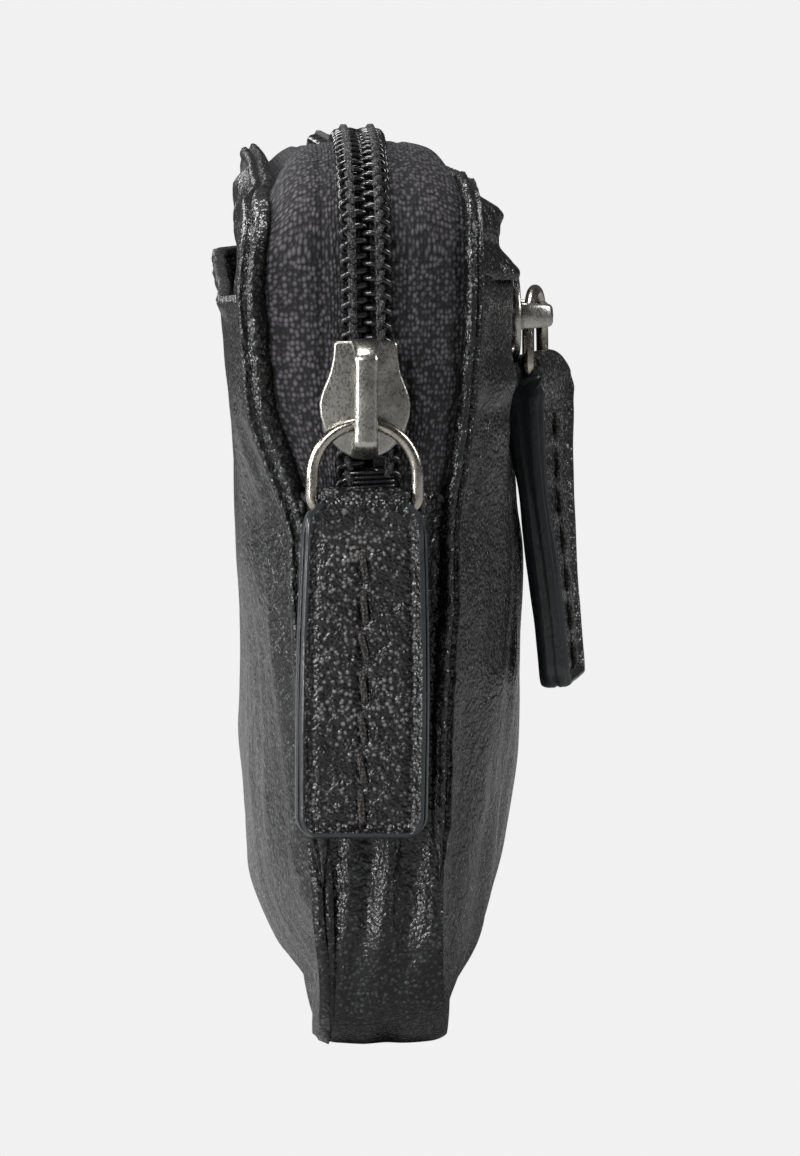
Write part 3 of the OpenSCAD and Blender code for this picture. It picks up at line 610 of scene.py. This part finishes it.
panel("front_lower_panel", 0, LOWER_HEM, front_skin, -1, 1, lower_panel_shape, FACING_LOW + 0.2)
panel("front_upper_facing", FACING_LOW, TOP, front_skin, -1, 2, facing_shape)
panel("slip_pocket_panel", 0, SLIP_MOUTH, slip_skin, 1, 3, slip_shape)
panel("back_panel", 0, TOP, back_skin, 1, 5, back_shape)


def lining_point(u, v):
    """The back lining follows the back panel's inside, so it is drawn in with it near the base."""
    z = row_height(v, LINING_INSET, TOP - LINING_INSET)
    x = half_length(z, LINING_INSET) * sin(pi * (u - 0.5))
    return Vector((x, back_skin(x, z) + creases(x, z, 5) + back_shape(x, z) - LINING_SINK, z))


piece(lay(90, 60, lining_point, (0, 1, 0)), "main_lining_back", lining_weave, "case", "lining_cloth",
      "main_lining_back", wall=LINING_WALL)

# %% [markdown]
# The gusset closes the ends and the base. Its end strips bulge with the zip towards the hem, and fold into a
# tab at the foot. It is one band laid along the outline, from one hem down, along the base and up to the other.

# %% Gusset
SWELL_BASE, TAPE_RISE = 0.95, 2.3
HEM = [(0, 0.0), (12, 0.0), (25, 0.06), (36, 0.4), (44.5, 0.85), (50.6, 1.0)]


def low_line(s):
    """Point and outward direction on the lower outline; s runs from the near hem over the base to the far hem."""
    straight = ZIP_START - LOW_RADIUS
    d = s * LOW_TOTAL
    side = -1 if d < LOW_TOTAL / 2 else 1
    d = min(d, LOW_TOTAL - d)
    if d < straight:
        return Vector((side * HALF, 0, ZIP_START - d)), Vector((side, 0, 0))
    if d < straight + LOW_CORNER:
        a = (d - straight) / LOW_RADIUS
        return (Vector((side * (HALF - LOW_RADIUS + LOW_RADIUS * cos(a)), 0, LOW_RADIUS * (1 - sin(a)))),
                Vector((side * cos(a), 0, -sin(a))))
    x = HALF - LOW_RADIUS - (d - straight - LOW_CORNER)
    return Vector((side * x, 0, 0)), Vector((0, 0, -1))


def dome(distance, half):
    """How far the band between the seams has risen, flat in the middle."""
    t = max(0, (distance - 3.6) / max(0.5, half - 3.6))
    return 1 - min(1, t) ** 2


def gusset_point(u, v):
    """A band of the gusset: it bulges with the zip, folds between the pull and the foot, and ends in a hem whose
    stitch line lies deep enough for the pull's fold to turn over it."""
    place, out = low_line(v)
    z = place.z
    base = 1 - rise(abs(out.x), 0, 0.6)
    foot = 1 - rise(z, 4.6, 8.6)
    edge = half_width(z) - 0.5 + 0.4 * (1 - rise(z, 16, 30))
    half_front = edge + 0.75 * foot + base * (front_skin(place.x, 0) - half_width(0))
    half_back = edge + 0.1 * foot + base * (back_skin(place.x, 0) - half_width(0))
    t = 2 * u - 1
    y = half_back * t if t > 0 else half_front * t
    half = max(half_front, half_back)
    swell_out = blend_table(z, HEM) * (SWELL_BASE + TAPE_RISE * dome(abs(y - ZIP_Y), half - 0.7)) if base < 1 else 0
    folds = wrinkle(y + 0.10 * z, z, 2.5, 13, 60 + out.x) * 1.25 + wrinkle(y, z, 4.2, 11, 66) * 0.6
    folds += wrinkle(y, z, 1.1, 4, 73) * 0.16
    folds *= (0.45 + 0.55 * (1 - rise(z, 34, 46))) * (1 - abs(t) ** 4) * (1 - base)
    folds *= (1 - rise(z, 46.6, 50.1)) * (0.35 + 0.65 * rise(z, 5, 12))
    hem = 0.25 * rise(z, 48.0, 48.8) * (1 - rise(z, 50.0, 50.6))
    hem -= 0.65 * exp(-((z - 49.35) / 0.75) ** 2) * (1 - t ** 6)
    sink = 0.15 + 1.35 * rise(z, 21, 33)
    tab = foot * (0.75 - 1.3 * abs(t) ** 8) + (1 - foot) * (0.2 - sink * abs(t) ** 7)
    return place + out * (swell_out + folds + hem + tab * (1 - 0.6 * base) - 0.15 * (1 - base)) + Vector((0, y, 0))


bm = lay(64, 300, gusset_point, (0, 0, -1))
piece(bm, "gusset", leather, "case", "black_leather", "gusset", wall=GUSSET_WALL)

# %% [markdown]
# The edge binding is the folded leather edge that shows as a ridge along each side seam. It is a small rounded
# section swept along the outline, with the dip of its stitch line and the pinch of each stitch.

# %% Edge binding
LEG_SHARE, LEG_ON_LOW = 0.19, 0.168


def whole_line(s):
    """The seam outline from the near foot over the top to the far foot."""
    if s < LEG_SHARE:
        return low_line(LEG_ON_LOW * (1 - s / LEG_SHARE))
    if s > 1 - LEG_SHARE:
        return low_line(1 - LEG_ON_LOW * (1 - (1 - s) / LEG_SHARE))
    return seam_line((s - LEG_SHARE) / (1 - 2 * LEG_SHARE))


def binding_point(side, inner, outer, seed):
    """Half a ridge's widths inside and outside the seam give its section; the seed gives its bends."""
    def point(u, v):
        place, out = whole_line(v)
        a = 2 * pi * u
        middle = side * (half_width(place.z) + (outer - inner) / 2)
        across = (outer + inner) / 2 * cos(a)
        lift = 1.05 * sin(a)
        if lift > 0:
            lift *= 1 - 0.85 * exp(-((across * side - 0.42) / 0.24) ** 2)
        pinch = 1 + 0.10 * sin(2 * pi * v * SEAM_TOTAL * 1.62 / 3.2) * rise(lift, 0, 0.4)
        bend = wrinkle(v * 300, seed, 9, 1, seed) * 0.28 + wrinkle(v * 300, seed, 2.6, 1, seed + 3) * 0.12
        taper = min(1, v / 0.03, (1 - v) / 0.03)
        return place + out * (lift * pinch * (0.4 + 0.6 * taper)) + Vector((0, middle + across * taper + bend, 0))

    return point


for side, inner, outer, name in ((-1, 1.35, 0.5, "front_edge_binding"), (1, 1.25, 1.15, "back_edge_binding")):
    bm = lay(20, 420, binding_point(side, inner, outer, 70 + side), closed=True)
    piece(bm, name, leather, "case", "black_leather", name)

# %% [markdown]
# The main zip's tape. Each half runs from under the binding up over a dome to the coil. It puckers a little
# beside the coil, where the coil's stitches draw it in.

# %% Main zip tape
TAPE_GAP = 0.42


def tape_point(side):
    def point(u, v):
        place, out = seam_line(v)
        half = half_width(place.z) - 1.4 - side * ZIP_Y
        reach = TAPE_GAP + u * (half + 0.75 - TAPE_GAP)
        lift = TAPE_RISE * dome(reach, half)
        bumps = wrinkle(v * SEAM_TOTAL, reach, 6, 3.5, 80 + side) * 0.22 * rise(reach, 3.4, 5) * (1 - rise(u, 0.8, 1))
        channel = -0.18 * exp(-((reach - 3.6) / 0.35) ** 2)
        return place + out * (lift + bumps + channel) + Vector((0, ZIP_Y + side * reach, 0))

    return point


for side, name in ((1, "main_zip_tape_back"), (-1, "main_zip_tape_front")):
    bm = lay(34, 260, tape_point(side), (0, 0, 1), uv=(8.0, SEAM_TOTAL))
    piece(bm, name, tape_knit, "case", "zip_tape", name, wall=TAPE_WALL)

# %% [markdown]
# The coil is one nylon filament a side, wound in flat loops that mesh at the middle. The path of a turn is a
# flattened loop that also steps along the chain by one pitch. Below the slider the two rows part a little.

# %% Coil
PITCH, FILAMENT, COIL_MIDDLE = 1.28, 0.28, 0.66


def coil_line():
    """The line that the coil's middle follows, as (length, place, outward direction)."""
    line, length, last = [], 0.0, None
    for k in range(901):
        place, out = seam_line(k / 900)
        middle = place + out * (TAPE_RISE + COIL_MIDDLE)
        length += (middle - last).length if last else 0
        line.append((length, place, out))
        last = middle
    return line


COIL_LINE = coil_line()
COIL_TOTAL = COIL_LINE[-1][0]


def main_frame(d):
    d = min(COIL_TOTAL, max(0, d))
    low = bisect.bisect_left(COIL_LINE, d, key=lambda row: row[0])
    near, far = COIL_LINE[max(0, low - 1)], COIL_LINE[low]
    t = (d - near[0]) / max(1e-6, far[0] - near[0])
    out = near[2].lerp(far[2], t).normalized()
    return near[1].lerp(far[1], t) + out * TAPE_RISE, out, Vector((0, 1, 0))


def parting(d, parted):
    """How far each row stands off the middle: the rows part below the slider and mesh above it."""
    return parted * (1 - rise(d, 4.4, 6.6))


def coil_row(side, start, turns, frame_at, shift, parted):
    """Two stacked legs across the row, with the step to the next turn at the outer bend."""
    path, steps = [], 10
    for i in range(turns * steps):
        a = 2 * pi * i / steps
        d = start + PITCH * (a + sin(a)) / (2 * pi)
        place, out, sideways = frame_at(d)
        across = 1.02 + 1.08 * copysign(abs(cos(a)) ** 0.75, cos(a)) + parting(d, parted)
        path.append(place + out * (COIL_MIDDLE + 0.34 * sin(a)) + sideways * (shift + side * across))
    return path


# %% [markdown]
# Grey sewing threads hold each row down on the tape: a lump over every turn, and two thin threads that join the
# lumps. Where a chain ends, a bar tack holds its rows together: a black thread wound over both a few times.

# %% Coil threads and bar tacks
LUMP = ((-0.50, 1.02, 1.02), (-0.18, 1.14, 1.30), (0.14, 1.26, 1.32), (0.48, 1.38, 1.04))
JOINING = ((-0.64, 0.80), (-0.2, 1.14), (0.2, 1.14), (0.64, 0.80))
TACK_TURNS, TACK_PITCH = 4, 0.42


def coil_stitches(frame_at, shift, start, turns, parted):
    """The lumps and the joining threads of both rows, each as a list of paths."""
    def stitch(side, d, points):
        path = []
        for along, across, lift in points:
            place, out, sideways = frame_at(d + along)
            path.append(place + out * lift + sideways * (shift + side * (across + parting(d, parted))))
        return path

    lumps, lines = [], []
    for side in (1, -1):
        for k in range(turns):
            d = start + PITCH * (k + 0.5 + (0.5 if side < 0 else 0))
            lumps.append(stitch(side, d, LUMP))
            for across in (0.94, 1.44):
                lines.append(stitch(side, d, [(along, across, lift) for along, lift in JOINING]))
    return lumps, lines


def bar_tack(frame_at, shift, start):
    path = []
    for i in range(TACK_TURNS * 16 + 1):
        a = 2 * pi * i / 16
        place, out, sideways = frame_at(start + TACK_PITCH * a / (2 * pi))
        path.append(place + out * (0.55 + 0.62 * sin(a)) + sideways * (shift + 2.25 * cos(a)))
    return path


def zip_chain(name, rows, frame_at, shift, start, turns, parted, tacks):
    """A zip's two coil rows, half a pitch apart, with their threads and a bar tack at each end."""
    for side, row in zip((1, -1), rows):
        phase = start + (PITCH / 2 if side < 0 else 0)
        path = coil_row(side, phase, turns, frame_at, shift, parted)
        coil = name + "_coil_" + row
        piece(tube([path], FILAMENT, 6), coil, coil_nylon, "case", "zip_coil", coil)
    lumps, lines = coil_stitches(frame_at, shift, start, turns - 1, parted)
    threads = joined(tube(lumps, 0.30, 6), tube(lines, 0.11, 4))
    piece(threads, name.replace("_zip", "_coil_threads"), coil_thread, "case", "thread")
    wound = [bar_tack(frame_at, shift, place) for place in tacks]
    piece(tube(wound, 0.2, 6), name + "_tacks", coil_nylon, "case", "zip_coil", name + "_stops")


main_turns = int((COIL_TOTAL - 1.6) / PITCH)
zip_chain("main_zip", ("back", "front"), main_frame, ZIP_Y, 0.8, main_turns, 0.55, (0.5, COIL_TOTAL - 2.2))

# %% [markdown]
# The front zip lies straight along the front, under the facing. It is the same tape and coil, laid flat, so only
# the frame that the coil's path uses differs: it runs along X and looks toward -Y.

# %% Front zip
FRONT_Z, FRONT_Y, FRONT_RUN = 64.9, -11.5, 46.8
FRONT_TAPE, FRONT_TAPE_WIDTH = 98.0, 5.78


def front_frame(d):
    return Vector((-FRONT_RUN + d, FRONT_Y, FRONT_Z)), Vector((0, -1, 0)), Vector((0, 0, 1))


def front_tape_point(side):
    def point(u, v):
        lift = wrinkle(v * 90, u * 6, 7, 4, 90 + side) * 0.15 * u
        return Vector((FRONT_TAPE * (v - 0.5), FRONT_Y - lift, FRONT_Z + side * (TAPE_GAP + u * FRONT_TAPE_WIDTH)))

    return point


for side, name in ((1, "front_zip_tape_upper"), (-1, "front_zip_tape_lower")):
    bm = lay(14, 160, front_tape_point(side), (0, -1, 0), uv=(6.0, FRONT_TAPE))
    piece(bm, name, tape_knit, "case", "zip_tape", name, wall=TAPE_WALL)

front_turns = int(2 * FRONT_RUN / PITCH) - 1
zip_chain("front_zip", ("upper", "lower"), front_frame, 0, 0.5, front_turns, 0.0, (0.1, 2 * FRONT_RUN - 1.3))

# %% [markdown]
# A slider's crown is one closed plate with a rounded outline, thicker in its middle, with its two long edges
# turned down as flanges. It is drawn in the slider's own frame: X to the narrow end, Y across, Z out.

# %% Sliders
SLIDER_LENGTH, SLIDER_WIDTH = 10.2, 7.83
CROWN = [(-1.0, 0.0), (-0.985, 0.17), (-0.94, 0.36), (-0.86, 0.54), (-0.72, 0.72), (-0.5, 0.895), (-0.28, 0.985),
         (-0.08, 1.01), (0.08, 0.975), (0.2, 0.92), (0.32, 0.855), (0.45, 0.79), (0.6, 0.742), (0.75, 0.715),
         (0.9, 0.70), (0.97, 0.695), (1.0, 0.65), (1.0, 0.0)]
# The case leans a little in the photograph, so what hangs on the main zip hangs a little off its line.
LEAN_ABOUT = Vector((0, ZIP_Y, 70))
LEAN = Matrix.Translation(LEAN_ABOUT) @ Matrix.Rotation(radians(1.4), 4, "X") @ Matrix.Translation(-LEAN_ABOUT)
MAIN_TO_CASE = LEAN @ Matrix(((0, 0, -1, -60.8), (0, 1, 0, ZIP_Y), (1, 0, 0, 58.8), (0, 0, 0, 1)))
FRONT_TO_CASE = Matrix(((1, 0, 0, -40.0), (0, 0, -1, FRONT_Y), (0, 1, 0, FRONT_Z), (0, 0, 0, 1)))


def outline(table, length, width):
    """A closed outline from a table of its one side's points, as shares of half the length and half the width."""
    half = [Vector((x * length / 2, y * width / 2, 0)) for x, y in table]
    return half + [Vector((p.x, -p.y, 0)) for p in half[-2:0:-1]]


def skinned(rings):
    """A closed mesh over rings of points, with a face at each end."""
    bm = bmesh.new()
    rings = [[bm.verts.new(place) for place in ring] for ring in rings]
    for one, two in zip(rings, rings[1:]):
        for i in range(len(one)):
            j = (i + 1) % len(one)
            bm.faces.new((one[i], one[j], two[j], two[i]))
    bm.faces.new(rings[0][::-1])
    bm.faces.new(rings[-1])
    bmesh.ops.recalc_face_normals(bm, faces=bm.faces)
    return bm


def plate(points, low, high, crown=0.0, lip=0.26):
    """A plate from a closed outline, with rounded rims and a slightly domed top."""
    middle = sum(points, Vector()) / len(points)
    levels = [(0.97, low), (1.0, low + 0.12), (1.0, high - lip)]
    levels += [(1 - 0.055 * (1 - cos(a)), high - lip + lip * sin(a)) for a in (0.5, 1.0, 1.35, 1.57)]
    levels += [(share, high + crown * (1 - share ** 2)) for share in (0.8, 0.55, 0.28)]
    return skinned([middle + (p - middle) * share + Vector((0, 0, level)) for p in points] for share, level in levels)


def placed(bm, matrix):
    bmesh.ops.transform(bm, matrix=matrix, verts=bm.verts)
    return bm


def block(low, high, soften):
    bm = bmesh.new()
    bmesh.ops.create_cube(bm, size=1)
    for vert in bm.verts:
        vert.co = Vector([a + (b - a) * (c + 0.5) for a, b, c in zip(low, high, vert.co)])
    bmesh.ops.bevel(bm, geom=bm.edges[:], offset=soften, segments=3, profile=0.5, affect="EDGES")
    return bm


def bridge(length, width, low, height, rail, foot):
    """The raised loop on the crown: a band along the slider, bent down into a foot at each end. The rail is the
    band's thickness, the foot its thickness at the ends."""
    rings, steps, sides = [], 44, 16
    for i in range(steps + 1):
        t = -1 + 2 * i / steps
        flat = abs(t) ** 3.4
        x = t * (length - 0.35 * rail) / 2
        z = low + height - rail / 2 - (height - rail / 2 + 0.4) * max(0, (flat - 0.42) / 0.58) ** 1.25
        slope = atan2(-(height + 0.4) * max(0, (flat - 0.42)) * 3.4, (length / 2)) * (1 if t > 0 else -1)
        widen = 1 - 0.10 * (1 - flat) + 0.12 * max(0, abs(t) - 0.85) / 0.15
        ring = []
        for k in range(sides):
            a = 2 * pi * k / sides
            across = copysign(abs(cos(a)) ** 0.55, cos(a)) * width / 2 * widen
            up = copysign(abs(sin(a)) ** 0.75, sin(a)) * rail / 2
            grow = 1 + (foot / rail - 1) * max(0, (flat - 0.35) / 0.65)
            ring.append((x - up * grow * sin(slope), across, z + up * cos(slope)))
        rings.append(ring)
    return skinned(rings)


def flange_point(side):
    def point(u, v):
        x = -3.9 + 8.3 * v
        reach = 3.44 - 1.08 * rise(x, -0.4, 3.4) - 0.55 * rise(-x, 2.0, 4.2)
        a = 2 * pi * u
        return Vector((x, side * (reach + 0.30 * cos(a)), 0.98 + 0.62 * sin(a)))

    return point


def slider(name, matrix, bridge_length, bridge_shift):
    """Crown, two flanges, the lower plate and the wedge between the plates, then the bridge."""
    parts = [plate(outline(CROWN, SLIDER_LENGTH, SLIDER_WIDTH), 1.26, 2.2, 0.14)]
    parts += [lay(12, 20, flange_point(side), closed=True) for side in (1, -1)]
    low = [(x * 0.94, y * 0.86) for x, y in CROWN]
    parts.append(plate(outline(low, SLIDER_LENGTH, SLIDER_WIDTH), -1.27, -0.56))
    parts.append(block((2.2, -0.22, -0.7), (3.6, 0.22, 1.4), 0.08))
    piece(placed(joined(*parts), matrix), name + "_body", nickel, name, "antique_nickel", name + "_body")
    bar = placed(bridge(bridge_length, 2.23, 2.2, 3.0, 1.2, 1.25), matrix @ Matrix.Translation((bridge_shift, 0, 0)))
    piece(bar, name + "_bridge", nickel, name, "antique_nickel", name + "_bridge")


slider("main_slider", MAIN_TO_CASE, 9.9, 0.12)
slider("front_slider", FRONT_TO_CASE, 7.6, 0)

# %% [markdown]
# Each ring is an arch of round wire closed by a straight bar below. It hangs in the bridge, and the pull folds
# round its lower bar. The front ring is turned a little about the vertical, as it hangs in the photograph.

# %% Rings
RING_WIDTH, RING_HEIGHT, WIRE, RING_CORNER = 10.2, 7.5, 1.12, 1.2


def ring_path():
    """Centre line in the ring's own plane, Y across and Z up, from the middle of its arched top."""
    half = (RING_WIDTH - WIRE) / 2
    path = [Vector((0, half * sin(pi * k / 24), half * (cos(pi * k / 24) - 1)))
            for k in range(-12, 13)]
    low = RING_CORNER - RING_HEIGHT
    for side in (1, -1):
        for k in range(7):
            a = pi / 12 * (k if side > 0 else 6 - k)
            path.append(Vector((0, side * (half - RING_CORNER + RING_CORNER * cos(a)),
                                low - RING_CORNER * sin(a))))
    return path


def hung(place, drop=0.0, turn=0.0, tilt=0.0):
    """The frame of what hangs at a place, lower by a drop, turned about the vertical and then tilted outward."""
    below = Vector(place) - Vector((0, 0, drop))
    return Matrix.Translation(below) @ Matrix.Rotation(turn, 4, "Z") @ Matrix.Rotation(tilt, 4, "Y")


MAIN_HANG, FRONT_HANG = (-63.9, ZIP_Y, 56.9), (-37.342, -15.412, 66.915)
FRONT_TURN = radians(78)
for name, matrix in (("main", LEAN @ hung(MAIN_HANG)), ("front", hung(FRONT_HANG, turn=FRONT_TURN))):
    bm = placed(tube([ring_path()], WIRE / 2, 14, closed=True), matrix)
    piece(bm, name + "_pull_ring", ring_wire, name + "_ring", "nickel_wire", name + "_pull_ring")

# %% [markdown]
# Each pull is one strip of hide that folds round the ring's lower bar and is sewn to itself. It has a neck at the
# bar, shoulders that widen to the full width, two cut layers and a painted edge that rolls up into a bead.

# %% Pulls
PULL_END, PULL_THICK, PULL_CORNER, PAINT = 28.6, 2.2, 2.1, 0.6
FOLD_RADIUS, FOLD_TOP = 1.42, 1.95
FACE_ROWS, EDGE_ROWS = 120, 160
STITCH_START, STITCH_PITCH, STITCHES = 3.3, 3.5, 7
STITCH_LIFT = ((0.02, -0.30), (0.07, 0.02), (0.18, 0.17), (0.36, 0.23), (0.6, 0.24), (0.8, 0.18), (0.92, 0.03),
               (0.97, -0.30))
PULL_HALF = [(-2.05, 3.3), (-1.7, 3.72), (-0.8, 3.88), (-0.3, 4.3), (0.4, 5.0), (1.4, 5.24), (3.6, 5.36),
             (6, 5.44), (12, 5.62), (20, 5.66), (28.6, 5.6)]


def pull_half(d):
    """Half width at a distance below the bar's centre, with rounded lower corners."""
    width = blend_table(d, PULL_HALF)
    left = PULL_END - d
    if left < PULL_CORNER:
        width -= PULL_CORNER - sqrt(max(0, PULL_CORNER ** 2 - (PULL_CORNER - left) ** 2))
    return width


def pull_layer_gap(d):
    """Distance from the middle plane to the strip's outer face: round at the bar, then drawn in flat."""
    if d < 0:
        return FOLD_RADIUS * sqrt(max(0, 1 - (d / FOLD_TOP) ** 2))
    return FOLD_RADIUS + (PULL_THICK / 2 - FOLD_RADIUS) * rise(d, 0.2, 3.4)


def pull_rows(steps):
    """Distances below the bar, closer together at both ends."""
    rows = []
    for i in range(steps + 1):
        t = i / steps
        rows.append(-FOLD_TOP + (PULL_END + FOLD_TOP) * (t - 0.12 * sin(2 * pi * t)))
    rows[0], rows[-1] = -FOLD_TOP, PULL_END
    return rows


def pull_face(side, seed, painted):
    """One outer face with its bead, trough, stitch groove and slight waves, or just the painted band on its rim."""
    rows = pull_rows(FACE_ROWS)

    def point(u, v):
        d = rows[round(v * FACE_ROWS)]
        half = pull_half(d)
        across = half * sin(pi * (u - 0.5))
        rim = min(half - abs(across), (PULL_END - d) if d > 4 else 9)
        base = pull_layer_gap(d)
        roll = 0.34 * exp(-((rim - 0.55) / 0.34) ** 2) - 0.20 * exp(-((rim - 1.30) / 0.34) ** 2)
        roll -= 0.55 * max(0, 1 - rim / 0.32) ** 2
        groove = -0.24 * exp(-(across / 0.42) ** 2) * rise(d, 3.2, 4.4) * (1 - rise(d, 27.4, 28.0))
        waves = wrinkle(across, d, 5, 7, seed) * 0.16 * rise(d, 1, 5) + wrinkle(across, d, 2, 3, seed + 2) * 0.05
        pucker = 0.07 * cos(2 * pi * (d - STITCH_START) / STITCH_PITCH) * exp(-(across / 1.3) ** 2)
        height = base + (roll + groove + waves + pucker * rise(d, 4, 5)) * rise(d, 0.2, 2.0)
        return Vector((-side * height, across, -d))

    bm = lay(64, FACE_ROWS, point, (-side, 0, 0))
    other = []
    for face in bm.faces:
        middle = face.calc_center_median()
        rim = min(pull_half(-middle.z) - abs(middle.y), (PULL_END + middle.z) if middle.z < -4 else 9)
        if (rim < PAINT and middle.z < 0.6) != painted:
            other.append(face)
    bmesh.ops.delete(bm, geom=other, context="FACES")
    return bm


def pull_core():
    """The painted edge: a band round the whole outline, with the seam between the two layers. Its last share at
    each end runs along the pull's straight lower end, to the middle."""
    rows, end_share = pull_rows(EDGE_ROWS), 0.05

    def edge(u, v):
        run = abs(1 - 2 * v)
        d = rows[round(min(1, run / (1 - end_share)) * EDGE_ROWS)]
        side = 1 if v < 0.5 else -1
        across = side * (pull_half(d) + 0.16 * rise(d, 0, 2)) * min(1, (1 - run) / end_share)
        a = pi * (u - 0.5)
        inward = 0.26 * (1 - cos(a)) + 0.16 * exp(-(sin(a) / 0.14) ** 2)
        if d < 0:
            inward *= 0.5
        turn = max(0, (PULL_CORNER - (PULL_END - d)) / PULL_CORNER)
        normal = Vector((0, side * (1 - turn), -turn)).normalized()
        return Vector((pull_layer_gap(d) * sin(a) * 0.985, across, -d)) - normal * inward

    return lay(12, 320, edge)


def pull_stitches(seed):
    """A lock stitch on both faces: each stitch rises from its hole, lies flat and dives again."""
    paths = []
    for side in (1, -1):
        for k in range(STITCHES):
            start = STITCH_START + k * STITCH_PITCH
            slant = 0.5 + 0.25 * sin(seed + k * 2.4)
            path = []
            for share, lift in STITCH_LIFT:
                d = start + STITCH_PITCH * (share * 0.80 + 0.05)
                across = -slant * (share - 0.5) + 0.06 * sin(seed * 3 + k)
                path.append(Vector((-side * (pull_layer_gap(d) - 0.10 + lift), across, -d)))
            paths.append(path)
    return paths


def twisted(bm, angle):
    """Turns the pull's upper part about its own length, and opens its loop, as one that hangs crooked on its ring."""
    for vert in bm.verts:
        high = 1 - rise(-vert.co.z, 2, 24)
        vert.co.x *= 1 + 2.6 * abs(angle) * (1 - rise(-vert.co.z, 1, 12))
        vert.co = Matrix.Rotation(angle * high, 4, "Z") @ vert.co
    return bm


def pull(name, matrix, seed, twist=0.0):
    """The hide's two faces, the painted edge round them and the stitches through them."""
    hide = joined(pull_face(1, seed, False), pull_face(-1, seed + 5, False))
    edge = joined(pull_face(1, seed, True), pull_face(-1, seed + 5, True), pull_core())
    sewn = tube(pull_stitches(seed), 0.29, 8)
    hide, edge, sewn = (placed(twisted(bm, twist), matrix) for bm in (hide, edge, sewn))
    piece(hide, name + "_leather", pull_hide, name, "black_leather", name + "_leather")
    piece(edge, name + "_edge", edge_paint, name, "black_leather")
    piece(sewn, name + "_stitching", sewing_thread, name, "thread", name + "_stitching")


pull("main_pull", LEAN @ hung(MAIN_HANG, RING_HEIGHT), 3)
pull("front_pull", hung(FRONT_HANG, RING_HEIGHT, FRONT_TURN, radians(4.5)), 11, radians(-8))

# %% [markdown]
# Bar tacks close the gusset's hem: a row of short upright stitches on each end, in the leather's own thread.

# %% Hem stitches
HEM_STITCHES, HEM_PITCH, HEM_STITCH_TOP, HEM_STITCH_LENGTH = 11, 1.12, 49.85, 0.9


def hem_stitch_paths():
    paths = []
    for end in (0, 1):
        for k in range(HEM_STITCHES):
            y = ZIP_Y + (k - HEM_STITCHES // 2) * HEM_PITCH
            path = []
            for step in range(7):
                share = step / 6
                s = (ZIP_START - (HEM_STITCH_TOP - HEM_STITCH_LENGTH * share)) / LOW_TOTAL
                place, out = low_line(abs(end - s))
                half = half_width(place.z) - 1.2
                lift = SWELL_BASE + TAPE_RISE * dome(abs(y - ZIP_Y), half) - 0.5 + 0.3 * sin(pi * share)
                lean = 0.12 * sin(k * 3.1 + end)
                path.append(place + out * lift + Vector((0, y + lean * (share - 0.5), 0)))
            paths.append(path)
    return paths


piece(tube(hem_stitch_paths(), 0.2, 6), "hem_stitches", sewing_thread, "case", "thread", "hem_stitches")

# %% [markdown]
# The pieces that stay as their solids are the hidden ones inside: they only take a finish.

# %% Finishes on the solids
KEPT = {
    "gusset_lining": (lining_weave, "lining_cloth"), "main_lining_front": (lining_weave, "lining_cloth"),
    "front_pocket_partition": (leather, "black_leather"), "key_strap": (leather, "black_leather"),
    "key_strap_rivet": (nickel, "antique_nickel"), "key_split_ring": (ring_wire, "nickel_wire"),
}
for name, (material, slot) in KEPT.items():
    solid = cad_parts[name]
    solid.data.materials.clear()
    solid.data.materials.append(material)
